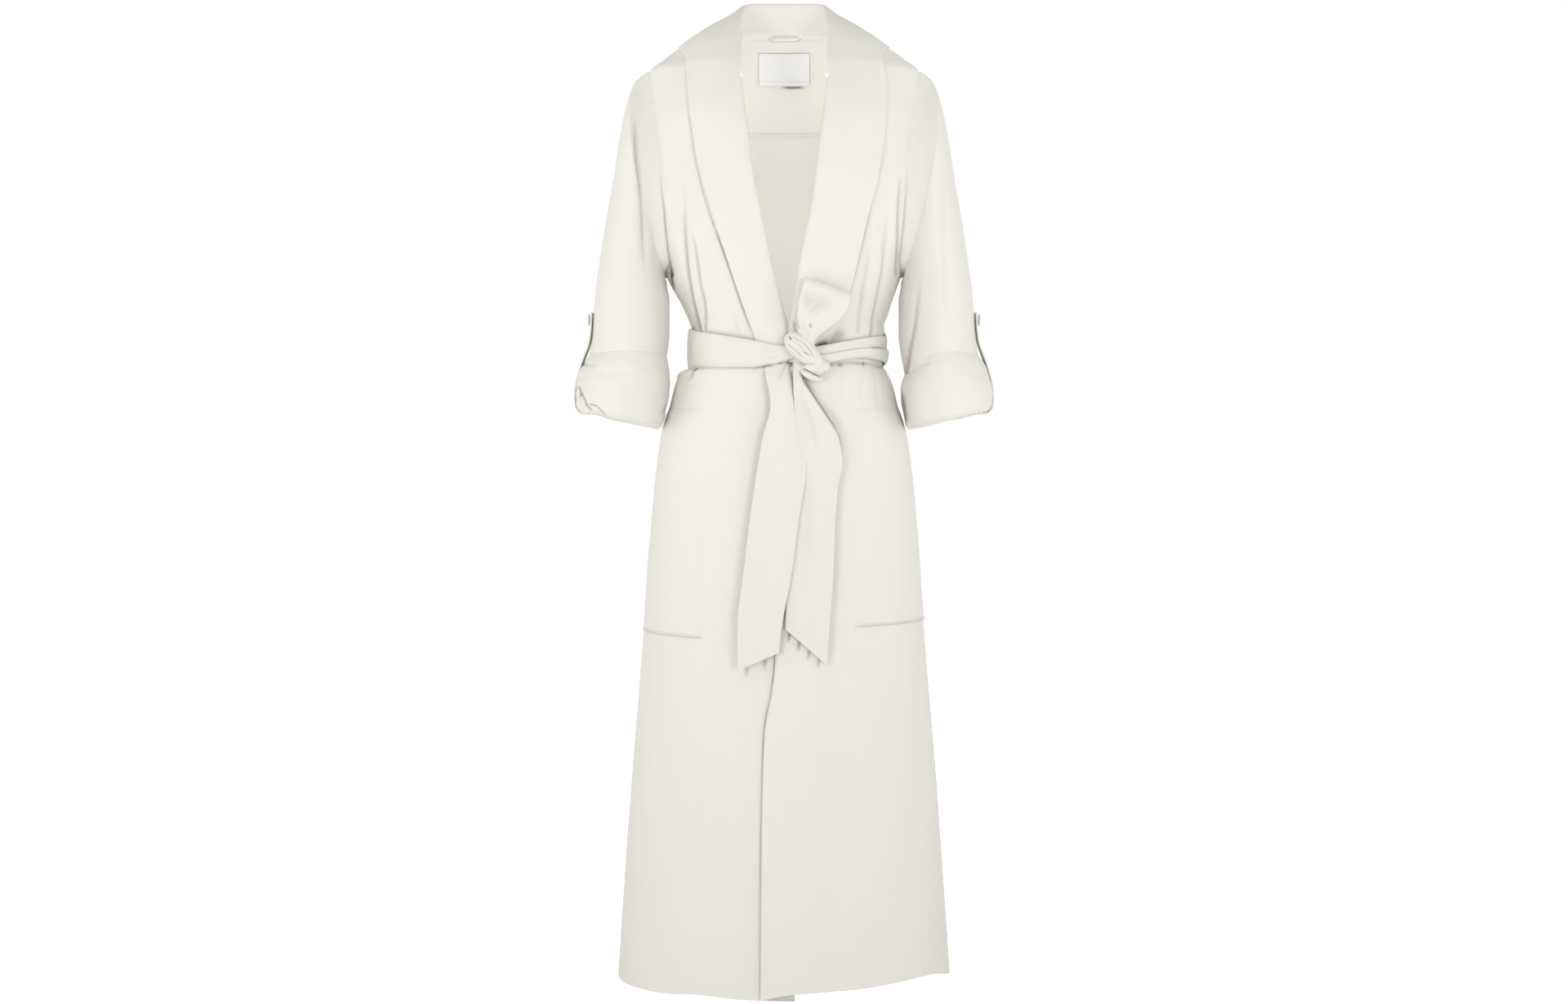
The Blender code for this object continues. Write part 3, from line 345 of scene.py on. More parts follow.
def creases(u, v, rows):
    """Depth and shadow at places u, v of creases that run along rounded paths."""
    u, v = np.broadcast_arrays(np.asarray(u, float), np.asarray(v, float))
    deep, dark = np.zeros(u.shape), np.zeros(u.shape)
    for wide, depth, path, *more in rows:
        shadow, (rise, fall) = (*more, *CREASE_REST[len(more) :])
        path = spline(path, 13)
        steps = np.diff(path, axis=0)
        lengths = np.hypot(steps[:, 0], steps[:, 1])
        starts = np.concatenate([[0.0], np.cumsum(lengths)])
        reach = 2.8 * wide
        low, high = path.min(0) - reach, path.max(0) + reach
        near = (u > low[0]) & (u < high[0]) & (v > low[1]) & (v < high[1])
        if not near.any():
            continue
        pu, pv = u[near], v[near]
        best = np.full(pu.shape, 1e9)
        along = np.zeros(pu.shape)
        for k, step in enumerate(steps):
            du, dv = pu - path[k, 0], pv - path[k, 1]
            t = clamp((du * step[0] + dv * step[1]) / lengths[k] ** 2)
            gap = np.hypot(du - t * step[0], dv - t * step[1])
            closer = gap < best
            best = np.where(closer, gap, best)
            along = np.where(closer, starts[k] + t * lengths[k], along)
        along = clamp(along / starts[-1])
        fade = ease((along + 1e-6) / max(rise, 1e-6)) * ease((1 - along + 1e-6) / max(fall, 1e-6))
        deep[near] += depth * fade * bell(best, wide)
        dark[near] += mix(*np.broadcast_to(shadow, 2), along) * fade * bell(best, 0.8 * wide)
    return deep, clamp(dark)


def crease_depth(u, v, rows):
    return creases(u, v, rows)[0]


def sway(points, size, seed):
    """A slow unevenness from -1 to 1 with bumps of about this size, the same every run."""
    chance = np.random.default_rng(seed)
    total = np.zeros(points.shape[:-1])
    for _ in range(7):
        way = unit(chance.normal(size=3)) * (2 * math.pi / (size * chance.uniform(0.8, 1.9)))
        total += np.sin(points @ way + chance.uniform(0, 2 * math.pi))
    return total / 4.2


def spline(points, count):
    """count points on a smooth curve through the first axis of an array, evenly along its length."""
    points = np.asarray(points, float)
    steps = norm(np.diff(points, axis=0))
    while steps.ndim > 1:
        steps = steps.mean(axis=-1)
    at = np.concatenate([[0.0], np.cumsum(np.maximum(steps, 1e-6))])
    shape = (-1,) + (1,) * (points.ndim - 1)
    slope = np.diff(points, axis=0) / np.diff(at).reshape(shape)
    tangent = np.concatenate([slope[:1], (slope[:-1] + slope[1:]) / 2, slope[-1:]])
    where = np.linspace(0, at[-1], count) if np.isscalar(count) else np.asarray(count) * at[-1]
    i = np.clip(np.searchsorted(at, where, side="right") - 1, 0, len(points) - 2)
    span = (at[i + 1] - at[i]).reshape(shape)
    t = (where - at[i]).reshape(shape) / span
    return hermite(points[i], points[i + 1], tangent[i], tangent[i + 1], span, t)


def rails(rows, count):
    """Smooth curves through the first and through the second points of rows."""
    return [spline([row[k] for row in rows], count) for k in (0, 1)]


def shares(count, pad):
    """Even shares from 0 to 1 with a narrow first and last step, so that edges shade crisply."""
    return np.concatenate([[0.0], np.linspace(pad, 1 - pad, count - 1), [1.0]])


# ---------------------------------------------------------------- the body's surface


def ring(turn, height, level=None):
    """Points round the body, without folds: turn is 0 in front, 90 on the wearer's left, 180 behind."""
    level = height if level is None else level
    power = 2 / BODY.at("power", level)
    sine, cosine = np.sin(np.radians(turn)), np.cos(np.radians(turn))
    side_y = BODY.at("side_y", level)
    reach = np.where(cosine >= 0, BODY.at("front_y", level), BODY.at("back_y", level)) - side_y
    x = BODY.at("middle_x", level) + np.sign(sine) * np.abs(sine) ** power * BODY.at("half_width", level)
    y = side_y + reach * np.abs(cosine) ** power
    return np.stack(np.broadcast_arrays(x, y, np.asarray(height, float)), -1)


def ring_normal(turn, height):
    across = ring(turn + 1, height) - ring(turn - 1, height)
    up = ring(turn, np.minimum(height + 1.0, 0.0)) - ring(turn, np.maximum(height - 1.0, HEM))
    return unit(np.cross(across, up))


def belt_bulge(turn, height):
    """How far the cloth swells above and below the belt that draws it in."""
    turn = np.mod(turn, 360)
    below = BELT.at("bottom", turn) - height
    above = height - BELT.at("top", turn)
    drawn = 3.0 - 2.0 * ease((turn - 14) / 6) * ease((96 - turn) / 12)
    return drawn * bell(below - 5, 4.2) + 1.4 * bell(above - 6, 5.0)


def torso(turn, height, out=0.0, fine=True):
    """Points of the coat's outer face with its folds, moved out by out."""
    turn, height = np.broadcast_arrays(np.asarray(turn, float), np.asarray(height, float))
    point = ring(turn, height)
    x = point[..., 0]
    front = np.cos(np.radians(turn)) >= 0
    depth = np.where(front, fold_depth(x, height, FOLDS), fold_depth(x, height, BACK_FOLDS))
    if fine:
        depth += np.where(
            front, crease_depth(x, height, FRONT_CREASES), crease_depth(x, height, BACK_CREASES)
        )
        skirt = ease((-430 - height) / 250)
        depth += 0.35 * sway(point, 70, 3) + 0.9 * skirt * sway(point * [1, 1, 0.25], 110, 4)
        depth -= belt_bulge(turn, height)
    return point + ring_normal(turn, height) * (out - depth)[..., None]


def front_turn(x, height):
    """The turn at which the front lies at x."""
    x = x - BODY.at("middle_x", height)
    share = clamp(np.abs(x) / BODY.at("half_width", height))
    return np.sign(x) * np.degrees(np.arcsin(share ** (BODY.at("power", height) / 2)))


def on_front(x, height, out=0.0, fine=True):
    return torso(front_turn(x, height), height, out, fine)


def edge_x(side, height):
    """Where a front's free edge lies: at the neck, under the collar's roll and in the wrap below it."""
    roll = COLLAR[side].at("roll_x", height) + BEHIND_ROLL
    neck = mix(*NECK_EDGE, clamp((height - NECK_POINT) / -NECK_POINT))
    end = side * (COLLAR[side].at("roll_x", COLLAR_END) + BEHIND_ROLL)
    share = clamp((COLLAR_END - height) / (COLLAR_END - OVERLAP_TOP))
    lap = mix(end, EDGE_BELOW[side].at("x", OVERLAP_TOP), share)
    below = np.where(height >= OVERLAP_TOP, lap, EDGE_BELOW[side].at("x", height))
    return np.where(height >= NECK_POINT, side * neck, np.where(height >= COLLAR_END, side * roll, below))


def front_layer(side, x, height):
    """How far the top front lies over the under front."""
    if side < 0:
        return np.zeros(np.broadcast(x, height).shape)
    return WRAP_LIFT * ease((OVERLAP_TOP - height) / 25) * ease((60 - x) / 30)


def hem_shift(side, x, height):
    return HEM_RISE[side].at("rise", x) * ease((HEM_SHIFT_TOP - height) / (HEM_SHIFT_TOP - HEM))


def side_turn(height):
    """Where a panel ends: at the side seam, or at the armhole."""
    armhole = (height > UNDERARM) & (height < SHOULDER_TIP)
    return np.where(armhole, ARMHOLE.at("turn", height), 90.0)


# ---------------------------------------------------------------- pieces


def link(made, slot, *nodes):
    bpy.context.scene.collection.objects.link(made)
    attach(made, "root")
    if nodes:
        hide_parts(*nodes)
    return made


def quads(rows, columns, closed=False):
    """Faces of a grid of points, which may be joined round its columns."""
    index = np.arange(rows * columns).reshape(rows, columns)
    last = columns if closed else columns - 1
    a, b = index[:-1, :last], np.roll(index, -1, axis=1)[:-1, :last]
    c, d = np.roll(index, -1, axis=1)[1:, :last], index[1:, :last]
    return np.stack([a, b, c, d], -1).reshape(-1, 4)


def mesh_of(name, points, faces, material, shades):
    """A smooth mesh from millimetres. shades are the painted shade in its crevices and under other pieces,
    outside and inside.
    """
    mesh = bpy.data.meshes.new(name)
    mesh.from_pydata((points * MM).tolist(), [], faces)
    mesh.materials.append(material)
    mesh.shade_smooth()
    for attribute, shade in zip(("painted_shade", "painted_shade_inside"), shades):
        values = clamp(shade).ravel().astype(np.float32)
        mesh.attributes.new(attribute, "FLOAT", "POINT").data.foreach_set("value", values)
    return mesh


def skin(name, grid, wall, material, slot, nodes=(), closed=False, flip=False, shades=()):
    """A thin shell from a grid of points, thickened to its inner side."""
    faces = quads(*grid.shape[:2], closed)
    if flip:
        faces = faces[:, ::-1]
    mesh = mesh_of(name, grid.reshape(-1, 3), faces.tolist(), material, shades)
    made = bpy.data.objects.new(name, mesh)
    thick = made.modifiers.new("wall", "SOLIDIFY")
    if len(shades) > 1:
        mesh.materials.append(CREPE_INSIDE)
        thick.material_offset = 1
    thick.thickness = wall * MM
    thick.offset = -1.0
    thick.use_even_offset = False
    return link(made, slot, *nodes)


def seam_dip(distance, wide=1.3, deep=0.32):
    """How far cloth dips next to a seam that lies at distance 0."""
    return deep * bell(distance, wide)


# how a panel's last row turns in at a seam: inwards, onwards in degrees, and up under the yoke
TUCK, TUCK_TURN, YOKE_TUCK = -2.2, 1.0, 2.6


# the share of a front's columns that lie near its free edge, and the least half-width they cover
NEAR_EDGE, NEAR_REACH = 0.62, 46.0


def front_panel(side, columns=136, skirt_rows=62, upper_rows=176):
    """A front from its free edge to the side seam and the armhole, with the shadows that lie on it."""
    skirt = mix(HEM, SKIRT_TOP, shares(skirt_rows, 0.001))
    upper = mix(SKIRT_TOP, PANEL_TOP, np.linspace(0, 1, upper_rows))[1:]
    height = np.concatenate([skirt, upper])[:, None]
    share = shares(columns, 0.004)[None, :]
    inner, outer = front_turn(edge_x(side, height), height), side * side_turn(height)
    middle = side * np.maximum(NEAR_REACH, mix(np.abs(inner), np.abs(outer), 0.35))
    near, far = share / NEAR_EDGE, (share - NEAR_EDGE) / (1 - NEAR_EDGE)
    turn = np.where(share < NEAR_EDGE, mix(inner, middle, near), mix(middle, outer, far))
    turn = np.concatenate([turn, outer + side * TUCK_TURN], axis=1)
    x = ring(turn, height)[..., 0]
    place = height + hem_shift(side, x, height)
    out = front_layer(side, x, place)
    to_seam = norm(ring(turn, height) - ring(turn[:, -2:-1], height))
    hem_line = np.abs(place - HEM - hem_shift(side, x, np.full_like(x, HEM)) - HEM_DEPTH)
    deep, dark = creases(x, place, FRONT_SHADOWS)
    out = out - seam_dip(to_seam, *PANEL_SEAM) - seam_dip(hem_line, *FRONT_STITCHES) - deep
    out[:, -1] += TUCK
    grid = to_neck(torso(turn, place, out), turn[-1])
    if side < 0:
        dark = dark + creases(x, place, UNDERLAP_SHADOWS)[1]
    # painted shade: the shadows listed for the fronts, the creases' shadows and a faint line at the hem's
    # stitches
    shade = dark + creases(x, place, FRONT_CREASES)[1] + 0.06 * bell(hem_line, 1.2)
    return grid, np.concatenate([shade, np.zeros((len(grid) - len(shade), shade.shape[1]))])


BACK_SHADOWS = [
    (1.7, 0, [(-5, -60.2), (12, -61), (29, -60.2)], 1, (0.3, 0.3)),
    (1.2, 0, [(-40, -4), (0, -4), (40, -4)], 0.12, (0, 0)),
]


def back_grid(low, high, rows, columns=104):
    """The back or the yoke between two heights, with the painted shade on its outside and its inside."""
    height = mix(low, high, shares(rows, 0.0015))[:, None]
    if high == YOKE_SEAM:
        height = np.concatenate([height, [[high + YOKE_TUCK]]])
    share = shares(columns, 0.003)[None, :]
    start = 180 - side_turn(height)
    turn = mix(start, 360 - start, share)
    turn = np.concatenate([start - TUCK_TURN, turn, 360 - start + TUCK_TURN], axis=1)
    x = ring(turn, height)[..., 0]
    place = ring(turn, height)
    edge = np.minimum(norm(place - place[:, 1:2]), norm(place - place[:, -2:-1]))
    to_yoke, hem_line = np.abs(height - YOKE_SEAM), np.abs(height - HEM - HEM_DEPTH)
    out = -seam_dip(edge, *PANEL_SEAM) - seam_dip(to_yoke) - seam_dip(hem_line, *BACK_STITCHES)
    out[:, [0, -1]] += TUCK
    if high == YOKE_SEAM:
        out[-1] += TUCK
    # painted shade along the yoke seam and along the hem's stitches
    seam_shade = 0.10 * bell(to_yoke - 1.2, 0.9) + 0.05 * bell(hem_line, 1.2)
    outside, inside = (seam_shade + creases(x, height, rows)[1] for rows in (BACK_CREASES, BACK_SHADOWS))
    return torso(turn, height, out), outside, inside


# the neck seam: where the stand's foot is at a turn round the neck, on the wearer's left
NECK_SEAM = Table(("turn", "x", "y", "height"), [
    (52, 62, 4, -5), (88, 61, 8, -7), (104, 58, 17, -3), (121, 57, 28, 0), (139, 53, 42, 0.3),
    (155, 42, 57.6, 0.3), (168, 22, 69.2, 0.3), (180, 0, 73.2, 0.3),
])


def to_neck(grid, turns):
    """Runs a panel on from its top row to the neck seam, behind the collar's stand."""
    round_left = np.where(turns > 180, 360 - turns, np.abs(turns))
    side = np.where((turns > 180) | (turns < 0), -1, 1)
    x, y = NECK_SEAM.at("x", round_left), NECK_SEAM.at("y", round_left)
    foot = np.stack([side * x, y, NECK_SEAM.at("height", round_left)], -1)
    foot = foot + unit(foot * [1, 1, 0]) * 1.6 + np.array([0, 0, 1.0]) * (1.5 + 3.0 * ease(y / 60))[..., None]
    return np.concatenate([grid, [mix(grid[-1], foot, t) for t in (0.15, 0.4, 0.7, 1.0)]])


# ---------------------------------------------------------------- collar

NECK_STATIONS = [
    ((0, 79, 42), (0, 74.3, 3.2), (180, -30)),
    ((20, 77, 41.5), (22.4, 70.3, 2.6), (168, -30)),
    ((40, 69, 39.5), (42.7, 58.5, 0.4), (155, -30)),
    ((50.5, 56, 35), (53.9, 42.7, -2), (139, -29)),
    ((53.5, 41, 27), (57.8, 28.4, -4), (121, -27)),
    ((55, 27, 18), (58.6, 17.2, -5.5), (104, -25)),
    ((55.8, 10, 5), (62, 5, -10), (88, -26)),
]
LIP, LIP_DEPTH, FALL_ARCH, ROLL_HALF, FALL_START, FALL_LIFT, ROLL_LIFT = 13.0, 4.2, 7.0, 1.5, 2.2, 2.2, 1.1
FALL_SHARES = (0.25, 0.5, 0.75, 0.92, 1.0)
# how far the outer face of the fall's edge stands off the front, down from the shoulder
FALL_EDGE = {
    -1: Table(("height", "out"), [
        (-430, 3.2), (-300, 3.2), (-200, 2.5), (-100, 1.9), (-60, 1.4), (-45, 0.5), (-26, 0.2),
    ]),
    1: Table(("height", "out"), [
        (-430, 3.2), (-320, 3), (-220, 2), (-150, 1.3), (-120, 0.5), (-90, 0.2), (-26, 0.2),
    ]),
}


def neck_section(roll, foot, edge, side):
    turn, height = edge
    away = unit(ring_normal(np.array(turn), np.array(NECK_POINT)) + [0, 0, 0.6])
    behind = ease((turn - 100) / 40)
    end = torso(turn, height, mix(0.3, 2.2, behind), False)
    points = [foot, mix(foot, roll, 0.55), mix(foot, roll, 0.9), roll + away * ROLL_HALF]
    for t in FALL_SHARES:
        arch = FALL_ARCH * (4 * t * (1 - t)) ** 1.15
        points.append(mix(roll + away * (2 * ROLL_HALF), end, t) + away * arch)
    return np.array(points) * [side, 1, 1]


def front_section(side, height):
    table = COLLAR[side]
    roll_x, edge = side * table.at("roll_x", height), side * table.at("edge_x", height)
    edge_height = table.at("edge_height", height)
    fall_x = roll_x + side * FALL_START
    laid = clamp((NECK_POINT - height) / 60)
    swell = ease((height - COLLAR_END) / 60)
    points = [
        on_front(roll_x + side * LIP, height - 2, -LIP_DEPTH, False),
        on_front(roll_x + side * LIP * 0.45, height - 1, -LIP_DEPTH, False),
        on_front(roll_x + side * 0.6, height, -LIP_DEPTH * 0.72, False),
        on_front(roll_x, height, 1.0, False),
    ]
    edge_out = FALL_EDGE[side].at("out", height)
    start = on_front(fall_x, height, 2.6 + ROLL_HALF, False)
    finish = on_front(edge, edge_height, edge_out, False)
    for t in FALL_SHARES:
        lift = 3.1 + swell * (ROLL_LIFT * (1 - t) + FALL_LIFT * math.sin(math.pi * t))
        lift = mix(lift + ROLL_HALF * (1 - laid), edge_out, ease((t - 0.55) / 0.45))
        lying = on_front(mix(fall_x, edge, t), mix(height, edge_height, t), lift, False)
        arched = mix(start, finish, t) + np.array([0, -1, 1]) * (FALL_ARCH * 2.4 * t * (1 - t) * (1 - laid))
        points.append(arched if laid < 1 and arched[1] < lying[1] else lying)
    return np.array(points)


def collar_grid(side, along=190, across=54):
    stations = spline([roll + foot + edge for roll, foot, edge in NECK_STATIONS], 40)
    sections = [neck_section(s[:3], s[3:6], s[6:], side) for s in stations]
    sections += [front_section(side, h) for h in np.linspace(NECK_POINT, COLLAR_END, 64)]
    grid = np.array(sections)
    grid = spline(grid, along)
    grid = spline(grid.transpose(1, 0, 2), shares(across, 0.008)).transpose(1, 0, 2)
    fall = clamp((np.linspace(0, 1, grid.shape[1]) - 0.35) / 0.65)[None, :]
    return grid, fall


def grid_normals(grid, closed=False):
    """Unit normals of a grid: rows step along the first axis, columns along the second."""
    if closed:
        across = np.roll(grid, -1, axis=1) - np.roll(grid, 1, axis=1)
    else:
        across = np.gradient(grid, axis=1)
    return unit(np.cross(across, np.gradient(grid, axis=0)))


# the shadow of the bow's loop on the collar above the belt
COLLAR_SHADOWS = [
    (2.4, 0, [(38, -411), (46, -407), (56, -405.5)], 0.95, (0, 0.4)),
    (9, 0, [(44, -409), (60, -402), (76, -386)], 0.42, (0, 0.35)),
    (3, 0, [(10, -378), (13.5, -386), (16.5, -393)], 0.3, (0.4, 0.1)),
]


def collar_piece():
    """The collar's two halves as one piece, joined at the centre back."""
    (right, fall), (left, _) = collar_grid(-1), collar_grid(1)
    grid = np.concatenate([right[::-1], left[1:]])
    normal = grid_normals(grid)
    lift = 0.45 * sway(grid, 60, 11) * np.sin(math.pi * fall) - 0.25 * bell(fall - 0.90, 0.02)
    dark = creases(grid[..., 0], grid[..., 2], COLLAR_SHADOWS)[1] * (grid[..., 1] < 0)
    from_foot = norm(grid - grid[:, :1])
    # a line of painted shade a little above the stand's foot, round the neck
    dark = dark + 0.10 * bell(from_foot - 4.2, 0.9) * (grid[..., 2] > -9)
    return grid + normal * lift[..., None], dark


# ---------------------------------------------------------------- sleeves

SLEEVE = Table(("height", "inner_x", "outer_x", "middle_y", "half_depth"), [
    (-56, 158, 176, 12, 12),
    (-64, 157, 182.5, 11, 22),
    (-70, 156, 187.5, 10.5, 27),
    (-82, 155, 192.6, 10, 33),
    (-101, 154, 198, 8, 40),
    (-142, 152, 206, 5, 49),
    (-204, 150, 215.5, 1, 57),
    (-266, 149, 225.5, -4, 61),
    (-327, 148.5, 234, -9, 62),
    (-348, 145.5, 236, -11, 62),
    (-390, 145.5, 238, -16, 61),
    (-427, 150, 243, -21, 58),
    (-465, 155, 247, -26, 55),
    (-500, 160.5, 248, -30, 53),
])
SLEEVE_END = -474.0
CAP_MIDDLE, CAP_HALF = (SHOULDER_TIP + UNDERARM) / 2, (SHOULDER_TIP - UNDERARM) / 2


def sleeve_point(side, around, height, out=0.0):
    """Points of the sleeve's tube: around is 0 on the outer side, 90 in front, 180 next to the body."""
    inner, outer = SLEEVE.at("inner_x", height), SLEEVE.at("outer_x", height)
    angle = np.radians(around)
    x = (inner + outer) / 2 + ((outer - inner) / 2 + out) * np.cos(angle)
    y = SLEEVE.at("middle_y", height) - (SLEEVE.at("half_depth", height) + out) * np.sin(angle)
    return np.stack(np.broadcast_arrays(side * x, y, np.asarray(height, float)), -1)


def sleeve_grid(side, rows=136, columns=118):
    around = np.linspace(0, 360, columns, endpoint=False)
    height = CAP_MIDDLE + CAP_HALF * np.cos(np.radians(around))
    between = (height > UNDERARM + 0.01) & (height < SHOULDER_TIP - 0.01)
    turn = np.where(between, ARMHOLE.at("turn", height), 90.0)
    face = np.where(around <= 180, 1, -1)
    at_front = lambda angle: side * np.where(face > 0, angle, 180 - angle)
    point = torso(at_front(turn), height)
    along = unit(torso(at_front(turn), height, 0, False) - torso(at_front(turn - 3), height, 0, False))
    tip = np.abs(np.cos(np.radians(around)))
    straight = [np.full(columns, side * 0.8), np.zeros(columns), np.where(height > CAP_MIDDLE, -0.6, 0.6)]
    straight = np.stack(straight, -1)
    away = unit(mix(along, straight, ease((tip - 0.8) / 0.2)[:, None]))
    grid = []
    for share in shares(rows, 0.002) ** 1.25:
        hang_height = mix(height, SLEEVE_END, share**1.3)
        hang = sleeve_point(side, around, hang_height)
        join = 1 - (1 - clamp(share / 0.1)) ** 2
        start = point + away * (260 * share)
        start[:, 2] = mix(start[:, 2], hang_height, 0.5 * ease((share - 0.008) / 0.022))
        grid.append(mix(start, hang, join))
    grid = np.array(grid)
    normal = grid_normals(grid, True) * side
    crease, dark = creases(grid[..., 0], grid[..., 2], SLEEVE_CREASES)
    facing = ease(0.5 - normal[..., 1] * 1.5)
    back = crease_depth(-grid[..., 0] * 1.03, grid[..., 2] + 14, SLEEVE_CREASES)
    rows_at = np.linspace(0, 1, len(grid))[:, None]
    depth = crease * facing + back * ease(0.5 + normal[..., 1] * 1.5)
    depth = (depth + 0.5 * sway(grid * [1, 1, 0.5], 55, 21 + side)) * ease(rows_at * 9)
    to_seam = norm(grid - grid[:1])
    depth = depth + seam_dip(to_seam, *PANEL_SEAM)
    # painted shade beside the armhole seam, low on the sleeve
    low = ease((-175 - grid[:1, :, 2]) / 80) * ease((grid[:1, :, 2] + 345) / 30)
    beside_seam = (0.5 if side < 0 else 0.35) * low * bell(to_seam, 1.8) * facing
    dark = dark * facing * ease(rows_at * 12) + beside_seam
    tuck = (grid[0] - away * 2.4 + normal[0] * TUCK)[None]
    return np.concatenate([tuck, grid - normal * depth[..., None]]), np.concatenate([dark[:1], dark])


CUFF_TOP, CUFF_FOLD, CUFF_TILT, CUFF_HEIGHT = -427.0, -497.0, 11.0, 70
# how much lower the cuff's top edge lies next to the body
CUFF_SLANT = {-1: 3.0, 1: 24.0}
# how the cuff's cloth runs: how far out it lies, and the share of the cuff's height
CUFF_SECTION = [
    (-4.6, 0.42), (-4.8, 0.14), (-2.4, 0.03), (2.5, 0.0), (7.2, 0.06), (9.6, 0.25), (9.2, 0.60), (7.2, 0.84),
    (4.2, 1.0), (1.5, 1.1), (-0.3, 1.17),
]
CUFF_CREASES = {
    -1: [
        (1.5, 1.8, [(-255, -456), (-251, -464), (-251, -472)], 0.85, (0.1, 0.2)),
        (1.5, 2, [(-250, -464), (-245, -474), (-241.5, -482), (-233, -489)], (0.6, 0.75), (0.1, 0.2)),
        (1.3, 1.6, [(-240, -480), (-230, -482), (-223, -489), (-214, -497)], 0.7, (0.1, 0.3)),
        (2.4, 1.6, [(-253, -428), (-240, -431), (-222, -431)], (0.3, 0.05), (0.1, 0.5)),
        (5, 1, [(-236, -438), (-220, -440), (-206, -446)]),
        (3, 2.4, [(-138, -456), (-143, -477), (-156, -494)], 0.25),
        (4, 1, [(-140, -446), (-150, -452), (-158, -452)]),
    ],
    1: [
        (3.2, 1.4, [(166, -432), (175, -430.5), (182, -430)], 0.1),
        (4.6, 3, [(143, -456), (145, -470), (147, -482), (149, -492), (151, -506)], (1, 0.6), (0.2, 0.2)),
        (6, 0.9, [(236, -432), (230, -450), (226, -470)]),
    ],
}


def cuff_grid(side, along=64, columns=140):
    section = spline(np.array(CUFF_SECTION) * [1, CUFF_HEIGHT], shares(along, 0.006))
    around = np.linspace(0, 360, columns, endpoint=False)
    tilt = np.cos(np.radians(around))
    fold = CUFF_FOLD + CUFF_TILT * tilt
    to_tab = np.minimum(around, 360 - around)
    under_tab = 2.6 * bell(to_tab, 22)
    top = CUFF_TOP - CUFF_SLANT[side] * ease((to_tab - 85) / 75)
    grid = []
    for out, share in section:
        proud = ease(out / 7.0)
        grid.append(sleeve_point(side, around, mix(fold, top, share / CUFF_HEIGHT), out + under_tab * proud))
    grid = np.array(grid)
    normal = grid_normals(grid, True) * -side
    roll = np.linspace(0, 1, len(grid))[:, None]
    uneven = 0.9 * sway(grid, 34, 31 + side) + 0.5 * sway(grid * [1, 1, 2.2], 26, 41 + side)
    uneven = uneven * ease(roll * 5) * (1 - ease((roll - 0.75) / 0.25))
    outer = ease((roll - 0.27) / 0.06) * ease(0.6 - normal[..., 1] * 1.6)
    deep, dark = creases(grid[..., 0], grid[..., 2], CUFF_CREASES[side])
    uneven = uneven + deep * outer
    return grid - normal * uneven[..., None], dark * outer


TAB_ROUTE = [
    (5.4, -362), (5.4, -384), (6.2, -402), (10.6, -424), (14.2, -448), (14.8, -470), (12.6, -484),
    (5, -490.5), (-3, -490),
]
TAB_HALF = 14.0


def tab_grid(side, along=70):
    route = spline(TAB_ROUTE, shares(along, 0.006))
    across = mix(-1, 1, shares(22, 0.03))
    grid = []
    for out, height in route:
        point = sleeve_point(side, 0.0, height, out)
        half = TAB_HALF * (1 - 0.10 * ease((height + 368) / 8) * across**4)
        row = [point[0] - side * 0.7 * across**2, point[1] + across * half, np.full(len(across), height)]
        grid.append(np.stack(row, -1))
    return np.array(grid)


# ---------------------------------------------------------------- pockets, label and loop

POCKET_TOP, POCKET_BOTTOM, POCKET_EDGE_X = -487.0, {-1: -766.0, 1: -752.0}, {-1: -91.0, 1: 76.0}


def pocket_grid(side, rows=64, columns=40):
    """A patch pocket that lies flat; its front edge sinks into the seam that holds it."""
    height = mix(POCKET_BOTTOM[side], POCKET_TOP, shares(rows, 0.003))[:, None]
    share = shares(columns, 0.008)[None, :]
    turn = mix(front_turn(POCKET_EDGE_X[side], height), side * 89.0, share)
    down = height - POCKET_BOTTOM[side]
    out = -0.9 + 1.9 * ease(share * 9) + 0.4 * ease(1 - down / 4) * ease(share * 6)
    out = out - 0.8 * ease((height - POCKET_TOP + 12) / 12)
    out = out - seam_dip(down - 5, 0.9, 0.2)
    # painted shade along the pocket's bottom edge and, faintly, at the right pocket's top
    dark = 0.32 * bell(down, 1.4) * ease(share * 8) + 0.04 * (side < 0) * bell(POCKET_TOP - height, 1.4)
    return torso(turn, height + 6 * share, out), dark


LABEL_TOP, LABEL_BOTTOM, LABEL_MIDDLE, LABEL_WIDTH, LABEL_GAP = -18.4, -58.6, 0.2, 67.0, 1.6


def label_grid(rows=30, columns=44):
    """The label on the yoke's inside, whose lower edge hangs loose on one side."""
    height = mix(LABEL_TOP, LABEL_BOTTOM, shares(rows, 0.015))[:, None]
    x = LABEL_MIDDLE + LABEL_WIDTH * (shares(columns, 0.01)[None, :] - 0.5)
    loose = 2.6 * ease((-46 - height) / 12) * bell(x - 12, 15)
    # a thin line of painted shade across the label near its lower edge
    fold = 0.14 * bell(height + 53.5, 0.9) * np.ones_like(x)
    return torso(180 - front_turn(x, height), height, -LABEL_GAP - PANEL_WALL - loose, False), fold


HANGER = [
    ((-22.5, 76, 3), (-17.5, 76, 3.5)),
    ((-21, 73.5, -1.5), (-16, 73.5, 1.2)),
    ((-16, 71, -5.2), (-12.5, 71, -0.4)),
    ((-8, 70, -6.2), (-7, 70, -1)),
    ((8, 70, -6.3), (7, 70, -1)),
    ((17.5, 71, -5.4), (14, 71, -0.4)),
    ((23, 73.5, -1.7), (18, 73.5, 1.2)),
    ((25.5, 76, 3), (20.5, 76, 3.5)),
]


